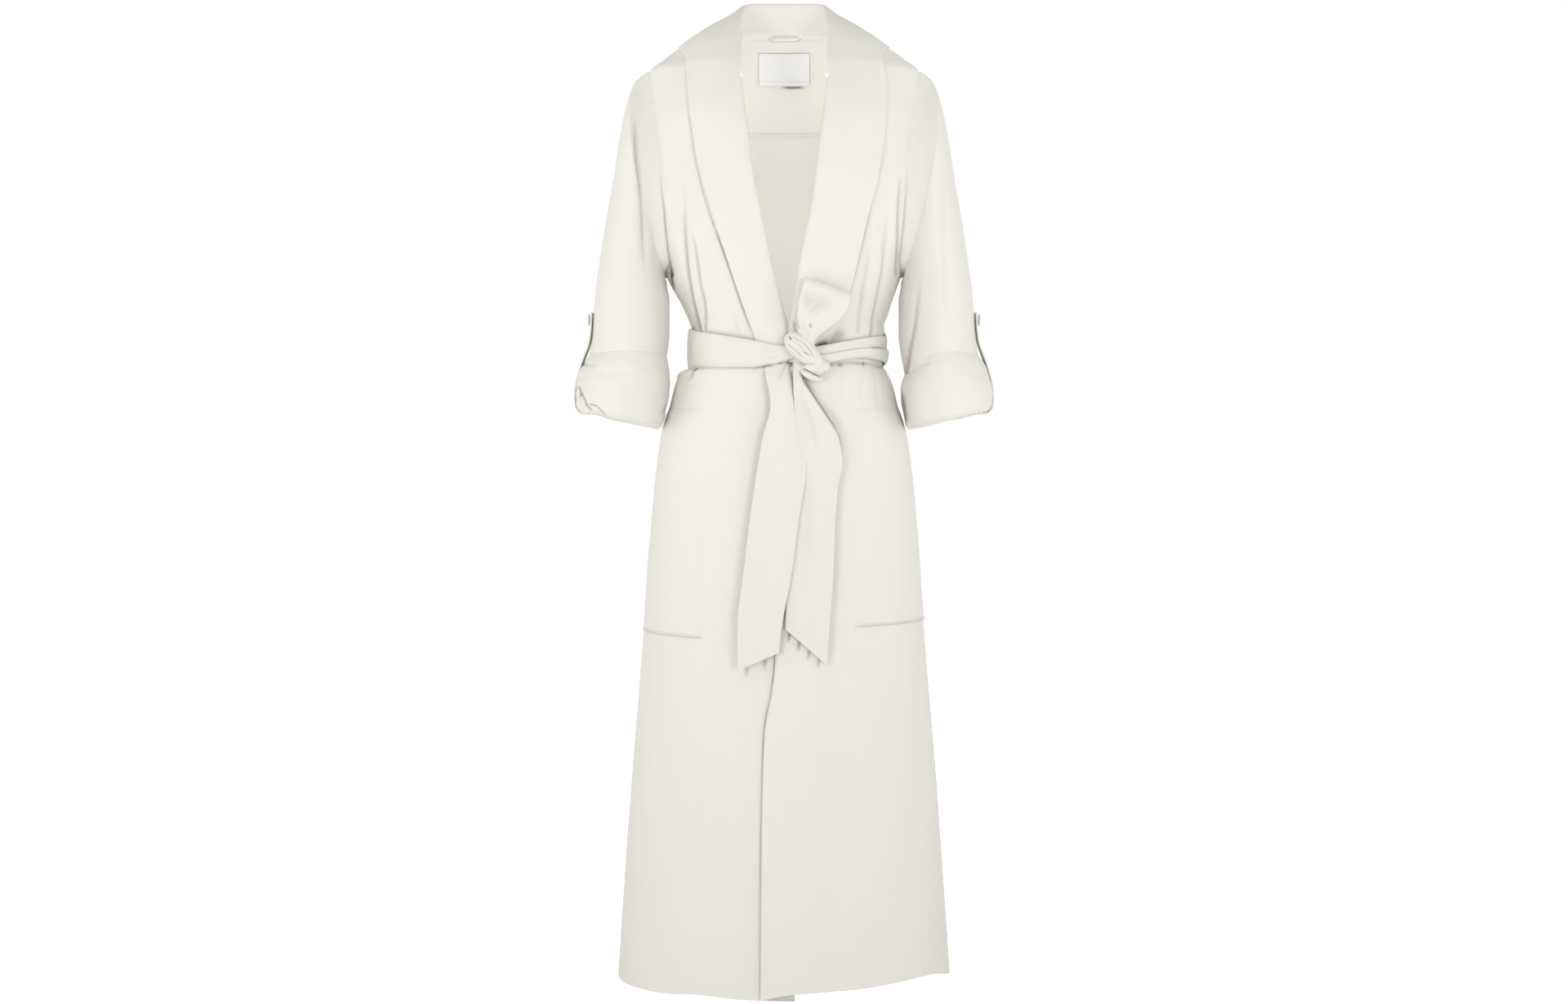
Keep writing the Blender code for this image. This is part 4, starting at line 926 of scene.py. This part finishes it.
def hanger_grid(along=70, around=26):
    """The folded strip of the hanger loop, as a flat tube."""
    low, high = rails(HANGER, along)
    middle, half = (low + high) / 2, (high - low) / 2
    face = unit(np.cross(np.gradient(middle, axis=0), half))
    angle = np.linspace(0, 2 * math.pi, around, endpoint=False)
    thick = np.sign(np.sin(angle)) * np.abs(np.sin(angle)) ** 0.7 * 0.85
    points = middle[:, None] + half[:, None] * np.cos(angle)[None, :, None]
    points = points + face[:, None] * thick[None, :, None]
    # painted shade along the strip's lower edge
    return points, 0.45 * bell(np.cos(angle) + 1, 0.2) * np.ones((along, 1))


# ---------------------------------------------------------------- belt

PLAIN = Table(("share", "out"), [
    (0.0, -3.4), (0.05, -1.2), (0.14, 0.2), (0.4, 0.9), (0.7, 0.7), (0.93, -0.2), (1.0, -1.6),
])
# folded along its length: the lower layer in front, a step, and the upper layer set back behind it
FOLDED = Table(("share", "out"), [
    (0.0, -2.4), (0.05, 0.2), (0.14, 1.8), (0.3, 2.6), (0.44, 2.5), (0.49, 1.4), (0.51, -1.4), (0.6, -0.9),
    (0.8, 0.2), (0.94, -0.4), (1.0, -1.8),
])
# millimetres to a degree round the waist, and the belt's width: places are degrees and shares of the width
BELT_DEGREE, BELT_WIDTH = 1.9, 48
BELT_CREASES = [
    (2.4, 0.8, [(364, 0.62), (356, 0.63), (347, 0.68)], 0.05),
    (2.4, 0.7, [(362, 0.32), (354, 0.3), (346, 0.34)], 0.05),
    (4.5, 1.2, [(288, 0.1), (286, 0.5), (287, 0.9)], 0.18),
    (5, 0.6, [(318, 0.3), (300, 0.36), (290, 0.3)]),
    (1.2, 0, [(12, 0.5), (22, 0.5), (36, 0.5), (52, 0.5)], (0.25, 0.3), (0, 0.1)),
    (1.8, 0, [(50, 0.5), (62, 0.5), (76, 0.5), (88, 0.5)], (0.85, 0.6), (0.2, 0.3)),
    (1.8, 0.6, [(18, 0.8), (34, 0.76), (56, 0.8)], 0.08),
    (2.4, 0.8, [(70, 0.3), (80, 0.22), (90, 0.1)], 0.1),
    (4, 0.9, [(120, 0.6), (150, 0.52), (172, 0.6)]),
    (4, 0.9, [(196, 0.35), (220, 0.42), (240, 0.3)]),
]


def belt_grid(along=330, across=50):
    turn = mix(BELT.keys[0], BELT.keys[-1], shares(along, 0.0012))[None, :]
    share = shares(across, 0.012)[:, None]
    top = BELT.at("top", turn)
    bottom = BELT.at("bottom", turn) + 3.0 * ease((turn - 24) / 20) * ease((102 - turn) / 14)
    level = (top + bottom) / 2
    height = mix(bottom, top, share)
    face = unit(ring_normal(turn, level) * [1, 1, 0])
    point = ring(turn, height, np.broadcast_to(level, height.shape))
    folded = ease((104 - turn) / 26)
    out = BELT.at("out", turn) + mix(PLAIN.at("out", share), FOLDED.at("out", share), folded)
    rows = []
    for wide, deep, path, *more in BELT_CREASES:
        rows.append((wide, deep, [(u * BELT_DEGREE, v * BELT_WIDTH) for u, v in path], *more))
    deep, dark = creases(turn * BELT_DEGREE, share * BELT_WIDTH, rows)
    out = out - deep + 0.3 * sway(point, 50, 51)
    return point + face * out[..., None], dark


TAIL_COLUMNS = ("height", "left_x", "right_x", "out")
TAILS = {
    "belt_tail_right": Table(TAIL_COLUMNS, [
        (-420, -12, 16, 3.6),
        (-430, -19, 14.5, 4.6),
        (-438, -22.5, 13, 6.4),
        (-448, -21.5, 12.5, 8.8),
        (-462, -18.5, 13.5, 11.5),
        (-484, -15.8, 16, 13),
        (-522, -24.7, 23, 13.2),
        (-560, -31, 26, 13.2),
        (-620, -39.4, 17.5, 13.2),
        (-682, -46.2, 9.8, 13.2),
        (-754, -53.5, -3, 13.2),
        (-804, -53.4, -8, 13.2),
    ]),
    "belt_tail_left": Table(TAIL_COLUMNS, [
        (-424, 12, 26, 8.4),
        (-440, 11, 26, 9),
        (-452, 11, 24.5, 9.4),
        (-464, 11, 29.5, 9.2),
        (-480, 12, 40, 8.8),
        (-510, 13, 60, 8.8),
        (-556, 15, 69, 8.8),
        (-580, 13, 64, 8.8),
        (-630, 8, 60, 8.8),
        (-684, 5, 58, 8.8),
        (-729, 2, 55, 8.8),
        (-797, 1, 50, 8.8),
    ]),
}
TAIL_CUT = {"belt_tail_right": -22.0, "belt_tail_left": 43.0}
TAIL_CREASES = {
    "belt_tail_right": [
        (1.2, 1.6, [(9.8, -424), (7, -429), (2, -435)], 0.85, (0, 0.3)),
        (1.2, 0, [(-24, -437), (-12, -435), (0, -432), (7, -428)], 0.8, (0, 0)),
        (2, 1.2, [(2, -435), (-3, -446), (-8, -458)], 0.15, (0, 0.6)),
        (3.8, 4.5, [(9.8, -426), (12.5, -448), (14.8, -467), (22, -527), (26, -560)], (0.8, 0.12), (0, 0.4)),
        (5, 0.9, [(-10, -450), (-12, -500), (-20, -560)]),
        (9, 1, [(-30, -600), (-34, -680), (-30, -760)]),
        (9, 0.9, [(-2, -560), (-12, -640), (-24, -720)]),
    ],
    "belt_tail_left": [
        (2.2, 2, [(20, -444), (22.5, -449), (23.6, -456)], 1, (0, 0.3)),
        (2, 0.3, [(24, -456), (31, -467), (40, -481), (52, -500), (65, -521), (70, -545)],
         (0.85, 0.6), (0, 0.4)),
        (4, 1.4, [(18, -458), (24, -482), (34, -512), (42, -548)], 0.08),
        (9, 1.2, [(30, -560), (26, -640), (20, -720)]),
        (7, 0.9, [(54, -540), (56, -600), (50, -680)]),
    ],
}


def tail_grid(name, rows=150, columns=40):
    table, slant = TAILS[name], TAIL_CUT[name]
    top, bottom = table.keys[-1], table.keys[0]
    t = shares(columns, 0.014)[None, :]
    j = shares(rows, 0.002)[:, None]
    rise = slant * (1 - t) if slant > 0 else -slant * t
    height = mix(bottom + rise, top, j)
    x = mix(table.at("left_x", height), table.at("right_x", height), t)
    hang = ease((-440 - height) / 60)
    deep, dark = creases(x, height, TAIL_CREASES[name])
    wave = 0.9 * np.sin(math.pi * t) + 0.8 * np.sin(2 * math.pi * t + j * 6.5) * hang - deep
    edge = np.minimum(t, 1 - t) * (table.at("right_x", height) - table.at("left_x", height))
    place = np.stack(np.broadcast_arrays(x, 0 * x, height * 0.5), -1)
    wave = wave + 0.35 * bell(edge - 1.4, 1.2) + 0.4 * sway(place, 40, 61)
    if name == "belt_tail_right":
        wave = wave - 5.5 * bell(t - 1, 0.22) * ease((height + 640) / 150)
    else:
        wave = wave + 4.0 * bell(t - 1, 0.3) * ease((height + 560) / 60) * ease((-444 - height) / 20)
    return on_front(x, height, table.at("out", height) + wave, False), dark


# the knot as three stretches of the belt: x, y, height, half-width and half-thickness at each stop
KNOT_BANDS = [
    [
        (3, -106, -402, 5, 3), (7, -115, -403, 9, 6), (12, -121, -406, 12.2, 8.5),
        (21, -123, -413, 14.2, 9.5), (33, -121, -425, 11.4, 9.5), (42, -117, -434, 7.5, 7),
        (48, -109, -441, 4, 4),
    ],
    [
        (49, -106, -430, 5, 3), (47.5, -114, -434, 8.6, 6.5), (42.5, -118, -436.5, 9.2, 8),
        (36, -118.5, -438, 7.4, 7.5), (30, -116, -438, 4.8, 5.5), (24, -110, -436.5, 2.5, 3),
    ],
    [
        (20, -107, -440, 2, 2), (25, -112, -443.5, 3.4, 4), (34, -114.5, -448, 4.6, 5),
        (41, -112.5, -450.5, 3.6, 4), (47, -107, -450, 1.5, 2),
    ],
]
# the pleats that show on the knot's face, with the painted shade in them: places are x and height
KNOT_PLEATS = [
    (0.85, 1.3, [(9, -398), (14, -402.5), (24.6, -409.4), (32.5, -419.3), (39, -430)], 0.3, (0.1, 0.3)),
    (0.75, 1, [(8, -403), (12, -406.4), (20.7, -412.4), (28, -419)], 0.24, (0.2, 0.3)),
    (0.8, 1.1, [(14, -412), (22, -418), (31, -423), (36, -428)], 0.16, (0.4, 0.3)),
    (0.8, 0.8, [(23, -419), (27, -421), (31, -423)], 0.5, (0.3, 0.3)),
    (1, 1.5, [(2, -408), (4, -409.4), (11.8, -415.3), (21, -423.5), (28, -431)], 0.28, (0.1, 0.4)),
    (0.9, 1, [(5, -415), (10, -419.5), (18, -427)], 0.14, (0.2, 0.4)),
    (1.3, 0.9, [(24, -401), (33, -408), (39.5, -418), (43, -429)], 0.1),
    (1.2, 1.6, [(5.6, -398.6), (7.2, -401.5), (8.8, -405)], 0.95, (0.3, 0.3)),
    (0.8, 1, [(25, -432.6), (31, -433.6), (41, -433.2)], 0.42, (0.1, 0.5)),
    (0.9, 0.8, [(32, -439.5), (41, -438.5), (49, -434.5)], 0.1),
    (0.9, 0.8, [(34, -443), (42, -443), (50, -440)], 0.1),
    (1.1, 1, [(24, -438.6), (31.5, -442.6), (39.4, -446.4), (45, -448.8)], 0.85, (0, 0.1)),
    (1.3, 0.6, [(50.5, -440), (49, -444), (46, -449)], (0.3, 0.8), (0.3, 0.1)),
]


def band_mesh(route, along=84, front=72, back=20):
    """A stretch of the belt drawn together into a fat band, closed at both ends, with its pleats."""
    stops = spline(route, along)
    place, wide, thick = stops[:, :3], stops[:, 3:4], stops[:, 4:5]
    way = unit(np.gradient(place, axis=0))
    face = unit(np.array([0, -1.0, 0]) - way * -way[:, 1:2])
    across = np.cross(way, face)
    halves = ((0, math.pi, front), (math.pi, 2 * math.pi, back))
    angle = np.concatenate([np.linspace(*half, endpoint=False) for half in halves])[None, :]
    round_x, round_y = np.cos(angle), np.sin(angle)
    round_y = np.sign(round_y) * np.abs(round_y) ** 0.72
    points = place[:, None] + across[:, None] * (wide * round_x)[..., None]
    points = points + face[:, None] * (thick * round_y)[..., None]
    facing = clamp(np.sin(angle) * 1.8 + 0.25) * np.ones((along, 1))
    deep, dark = creases(points[..., 0], points[..., 2], KNOT_PLEATS)
    points = points - face[:, None] * ((deep - 0.35 * sway(points, 12, 71)) * facing)[..., None]
    sides, count = front + back, along * (front + back)
    faces = quads(along, sides, True)[:, [0, 3, 2, 1]].tolist()
    faces += [list(range(sides)), list(range(count - 1, count - sides - 1, -1))]
    return points.reshape(-1, 3), faces, (dark * facing).ravel()


def knot(material):
    points, faces, shade = [], [], []
    for route in KNOT_BANDS:
        found, sides, dark = band_mesh(route)
        start = sum(len(p) for p in points)
        points.append(found)
        shade.append(dark)
        faces += [[start + k for k in face] for face in sides]
    mesh = mesh_of("belt_knot", np.concatenate(points), faces, material, [np.concatenate(shade)])
    made = bpy.data.objects.new("belt_knot", mesh)
    return link(made, "belt_crepe", "belt_knot_wrap", "belt_knot_tuck")


BOW_LOOP = [
    ((17, -131, -396), (35, -131, -411)),
    ((15, -135, -388), (40, -137, -402)),
    ((16, -138, -379), (50, -140, -394)),
    ((17, -140.5, -362), (66, -142, -381)),
    ((21, -141.5, -347), (76, -142.5, -368)),
    ((24.5, -141, -334), (80, -141, -356)),
    ((26.6, -136, -329), (79.5, -136, -348)),
    ((27, -128, -329.5), (79.5, -128, -348)),
    ((25.5, -122, -336), (79, -122, -357)),
    ((20, -118, -360), (66, -118, -380)),
    ((18, -114, -384), (46, -114, -399)),
    ((16, -112, -398), (36, -112, -410)),
]


LOOP_SHADOWS = [
    (8.5, 6.5, [(18, -355), (30, -356), (46, -358), (66, -362)], 0.1, (0.25, 0.5)),
    (9, 4, [(30, -362), (38, -368), (44, -372)], 0, (0.4, 0.5)),
    (1.3, 1.2, [(14.5, -377), (16, -385), (18.5, -392)], 0.4, (0.3, 0.1)),
    (1.6, 2.2, [(32, -384.5), (31.7, -391.5)], 0.3, (0.3, 0.3)),
    (2.2, 1, [(22, -380), (24, -390), (27, -398)], 0.04),
]


def loop_grid(along=150, across=56):
    left, right = rails(BOW_LOOP, along)
    t = shares(across, 0.012)[None, :]
    grid = mix(left[:, None], right[:, None], t[..., None])
    s = np.linspace(0, 1, along)[:, None]
    front = ease((0.52 - s) / 0.08)
    deep, dark = creases(grid[..., 0], grid[..., 2], LOOP_SHADOWS)
    gather = 1.6 * ease((0.2 - s) / 0.2) * (0.5 + 0.5 * np.sin(t * 19 + 1.0))
    swell = 3.0 * np.sin(math.pi * t) * ease(s / 0.08) * ease((0.34 - s) / 0.14)
    curl = 2.2 * bell(t, 0.10) + 1.6 * bell(1 - t, 0.08)
    grid[..., 1] += front * (deep + curl * ease((0.4 - s) / 0.2) - swell) + gather
    grid[..., 1] += 0.5 * sway(grid, 30, 81)
    return grid, dark * front


# ---------------------------------------------------------------- materials


def nodes_of(name, **values):
    """A new material with its node tree and its shader, which gets these values."""
    made = bpy.data.materials.new(name)
    made.use_nodes = True
    shader = made.node_tree.nodes["Principled BSDF"]
    for key, value in values.items():
        shader.inputs[key.replace("_", " ")].default_value = value
    return made, made.node_tree, shader


def add_node(tree, kind, *inputs, **named):
    """Adds a node. Names in lower case are its settings, the rest feeds its inputs, by value or socket."""
    node = tree.nodes.new("ShaderNode" + kind)
    feeds = dict(enumerate(inputs))
    for name, value in named.items():
        if name.islower():
            setattr(node, name, value)
        else:
            feeds[name] = value
    for key, value in feeds.items():
        if isinstance(value, bpy.types.NodeSocket):
            tree.links.new(value, node.inputs[key])
        else:
            node.inputs[key].default_value = value
    return node


def blend(tree, share, low, high):
    """A colour from low to high."""
    made = add_node(tree, "Mix", data_type="RGBA", Factor=share, A=low, B=high)
    return made.outputs["Result"]


# the colour of painted shade, towards which creases, seams and spots under other pieces are darkened
PAINTED_SHADE_COLOUR = (0.13, 0.10, 0.075, 1)


def cloth(name, light, dark, roughness, grain, depth, sheen, attribute="painted_shade"):
    """Crepe: a pebbled surface of twisted yarn, with a slow unevenness of tone and painted shade from the
    mesh's attribute.
    """
    made, tree, shader = nodes_of(
        name, Roughness=roughness, Sheen_Weight=sheen, Sheen_Roughness=0.35, Specular_IOR_Level=0.3
    )
    place = add_node(tree, "TexCoord").outputs["Object"]

    def noise(scale, detail, rough):
        made = add_node(tree, "TexNoise", Vector=place, Scale=scale, Detail=detail, Roughness=rough)
        return made.outputs["Fac"]

    both = add_node(tree, "Math", noise(9.0, 3.0, 0.55), noise(grain, 2.0, 0.6), operation="ADD")
    half = add_node(tree, "Math", both.outputs[0], 0.5, operation="MULTIPLY")
    tone = blend(tree, half.outputs[0], (*dark, 1), (*light, 1))
    # painted shade: a vertex attribute that darkens the colour in creases, along seams and under other pieces
    painted_shade = add_node(tree, "Attribute", attribute_name=attribute).outputs["Fac"]
    cells = {"feature": "SMOOTH_F1", "Scale": grain * 0.8, "Smoothness": 0.6}
    pebble = add_node(tree, "TexVoronoi", Vector=place, **cells).outputs["Distance"]
    bump = add_node(tree, "Bump", Strength=0.5, Distance=depth, Height=pebble).outputs["Normal"]
    slow = noise(55.0, 3.0, 0.5)
    soft = add_node(tree, "Bump", Strength=0.35, Distance=0.0006, Height=slow, Normal=bump)
    tree.links.new(blend(tree, painted_shade, tone, PAINTED_SHADE_COLOUR), shader.inputs["Base Color"])
    tree.links.new(soft.outputs["Normal"], shader.inputs["Normal"])
    return made


CREPE_TONES = ((0.808, 0.796, 0.742), (0.786, 0.770, 0.714), 0.85, 1500.0, 0.00012, 0.35)
CREPE = cloth("crepe_look", *CREPE_TONES)
CREPE_INSIDE = cloth("crepe_inside_look", *CREPE_TONES, "painted_shade_inside")
BELT_LOOK = cloth("belt_look", (0.800, 0.784, 0.726), (0.772, 0.752, 0.692), 0.82, 1500.0, 0.00012, 0.35)
LABEL_LOOK = cloth("label_look", (0.81, 0.81, 0.815), (0.785, 0.785, 0.79), 0.5, 2400.0, 0.00005, 0.0)

# ---------------------------------------------------------------- make the pieces


def cloth_piece(
    name, form, wall, held, rests_on, nodes=(), look=CREPE, slot="crepe", closed=False, flip=False
):
    """A sheet of the coat from its grid and its shades."""
    grid, *shades = form if isinstance(form, tuple) else (form,)
    made = skin(name, grid, wall, look, slot, nodes or (name,), closed, flip, shades)
    return made


for side, word in ((-1, "right"), (1, "left")):
    front, sleeve = "front_" + word, "sleeve_" + word
    cloth_piece(front, front_panel(side), PANEL_WALL, "hung", ["back_yoke"], flip=side < 0)
    cloth_piece(sleeve, sleeve_grid(side), PANEL_WALL, "hung", [front, "back"], closed=True, flip=side > 0)
    cloth_piece("cuff_" + word, cuff_grid(side), CUFF_WALL, "folded", [sleeve], closed=True, flip=side < 0)
    cloth_piece("tab_" + word, tab_grid(side), TAB_WALL, "folded", [sleeve], flip=side > 0)
    cloth_piece("pocket_" + word, pocket_grid(side), POCKET_WALL, "hung", [front], flip=side < 0)
cloth_piece("back", back_grid(HEM, YOKE_SEAM, 210), PANEL_WALL, "hung", ["back_yoke"])
yoke, *yoke_shades = back_grid(YOKE_SEAM, PANEL_TOP, 100)
yoke_turns = np.concatenate([[90 - TUCK_TURN], mix(90.0, 270.0, shares(104, 0.003)), [270 + TUCK_TURN]])
yoke_shades = [np.concatenate([shade, np.zeros((4, shade.shape[1]))]) for shade in yoke_shades]
cloth_piece("back_yoke", (to_neck(yoke, yoke_turns), *yoke_shades), PANEL_WALL, "draped", ["collar"])
FRONTS, HALVES = ["front_right", "front_left"], ("collar_right", "collar_left")
cloth_piece("collar", collar_piece(), COLLAR_WALL, "folded", FRONTS, HALVES)
cloth_piece("hanger_loop", hanger_grid(), HANGER_WALL, "hung", ["collar"], closed=True)
cloth_piece("label", label_grid(), LABEL_WALL, "hung", ["back_yoke"], look=LABEL_LOOK, slot="label_weave")
STRETCHES = ("belt_back", "belt_front_right", "belt_front_left")
BELT_CLOTH = {"look": BELT_LOOK, "slot": "belt_crepe"}
cloth_piece("belt", belt_grid(), BELT_WALL, "stretched", ["back"], STRETCHES, **BELT_CLOTH)
for name in TAILS:
    cloth_piece(name, tail_grid(name), BELT_WALL, "hung", ["belt_knot"], **BELT_CLOTH)
cloth_piece("belt_bow_loop", loop_grid(), BELT_WALL, "folded", ["belt_knot"], **BELT_CLOTH)
knot(BELT_LOOK)

# ---------------------------------------------------------------- carried-over nodes

horn, horn_tree, horn_shader = nodes_of("button_look", Roughness=0.35)
swirl = add_node(horn_tree, "TexNoise", Scale=160.0, Detail=3.0).outputs["Fac"]
tint = blend(horn_tree, swirl, (0.80, 0.77, 0.70, 1), (0.70, 0.66, 0.58, 1))
horn_tree.links.new(tint, horn_shader.inputs["Base Color"])
for name in ("button_right", "button_left"):
    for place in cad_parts[name].material_slots:
        place.material = horn

# ---------------------------------------------------------------- stage, light and camera

# in metres: the floor's height and half-width, and where its glow starts and ends, with its strength there,
# behind the coat and all round
FLOOR_HEIGHT, FLOOR_REACH = -1.46, 24.0
GLOW_BEHIND, GLOW_ROUND = (0.1, 0.9, 1.0), (1.3, 3.2, 0.75)


def scene_object(name, data):
    made = bpy.data.objects.new(name, data)
    bpy.context.scene.collection.objects.link(made)
    return made


def stage_floor():
    """A plain pale floor that glows away from the coat, so that it is as white there as the backdrop."""
    mesh = bpy.data.meshes.new("floor")
    ends = (-FLOOR_REACH, FLOOR_REACH)
    mesh.from_pydata([(x, y, FLOOR_HEIGHT) for y in ends for x in ends], [], [(0, 1, 3, 2)])
    look, tree, shader = nodes_of(
        "floor_look",
        Base_Color=(0.80, 0.79, 0.77, 1),
        Roughness=1.0,
        Specular_IOR_Level=0.0,
        Emission_Color=(1.0, 1.0, 1.0, 1),
    )
    place = add_node(tree, "TexCoord").outputs["Object"]
    parts = add_node(tree, "SeparateXYZ", place)
    flat = add_node(tree, "CombineXYZ", parts.outputs["X"], parts.outputs["Y"])
    away = add_node(tree, "VectorMath", flat.outputs["Vector"], operation="LENGTH")
    glows = []
    ways = ((parts.outputs["Y"], GLOW_BEHIND), (away.outputs["Value"], GLOW_ROUND))
    for distance, (start, end, most) in ways:
        ramp = add_node(tree, "MapRange", distance, start, end, 0.0, most)
        glows.append(ramp.outputs["Result"])
    brighter = add_node(tree, "Math", *glows, operation="MAXIMUM")
    tree.links.new(brighter.outputs[0], shader.inputs["Emission Strength"])
    mesh.materials.append(look)
    scene_object("floor", mesh)


def light(name, place, aim, size, power):
    lamp = bpy.data.lights.new(name, "AREA")
    lamp.shape = "RECTANGLE"
    lamp.size, lamp.size_y = size
    lamp.energy = power
    made = scene_object(name, lamp)
    made.location = place
    x, y, z = np.array(aim) - np.array(place)
    made.rotation_euler = (math.atan2(math.hypot(x, y), -z), 0, math.atan2(y, x) - math.pi / 2)
    made.visible_camera = False


def studio(ambient):
    """A white backdrop all round that lights the coat more softly than it looks."""
    world = bpy.data.worlds.new("studio")
    bpy.context.scene.world = world
    world.use_nodes = True
    shell = world.node_tree.nodes["Background"]
    shell.inputs["Color"].default_value = (1.0, 1.0, 1.0, 1)
    seen = add_node(world.node_tree, "LightPath").outputs["Is Camera Ray"]
    strength = add_node(world.node_tree, "MapRange", seen, 0.0, 1.0, ambient, 1.0)
    world.node_tree.links.new(strength.outputs["Result"], shell.inputs["Strength"])


AMBIENT = 0.41
stage_floor()
studio(AMBIENT)
# name, place, where it aims, size and power
light("front_right", (-1.7, -2.9, -0.4), (0, 0, -0.65), (0.9, 0.9), 20.5)
light("front_left", (1.5, -3.0, -0.5), (0, 0, -0.65), (0.9, 0.9), 19.5)
light("side_right", (-3.2, -0.9, 0.1), (0, 0, -0.6), (1.6, 2.4), 23.5)
light("side_left", (3.2, -0.9, 0.1), (0, 0, -0.6), (1.6, 2.4), 22.5)
light("top", (0, -1.2, 2.2), (0, 0, -0.3), (2.0, 1.6), 9.0)
# daylight that comes through the thin cloth into the coat
light("inside", (0, -0.055, -0.24), (0, 0.1, -0.24), (0.16, 0.34), 0.235)
light("inside_neck", (0, 0.01, -0.10), (0, 0.08, 0.0), (0.08, 0.04), 0.018)

VIEW_DISTANCE, VIEW_HEIGHT, VIEW_WIDTH = 3.0, -0.600, 1.9776
camera = bpy.data.cameras.new("camera")
camera.sensor_fit = "HORIZONTAL"
camera.sensor_width = 36.0
camera.lens = camera.sensor_width * VIEW_DISTANCE / VIEW_WIDTH
viewer = scene_object("camera", camera)
viewer.location = (0, -VIEW_DISTANCE, VIEW_HEIGHT)
viewer.rotation_euler = (math.pi / 2, 0, 0)
bpy.context.scene.camera = viewer
bpy.context.scene.view_settings.view_transform = "Standard"
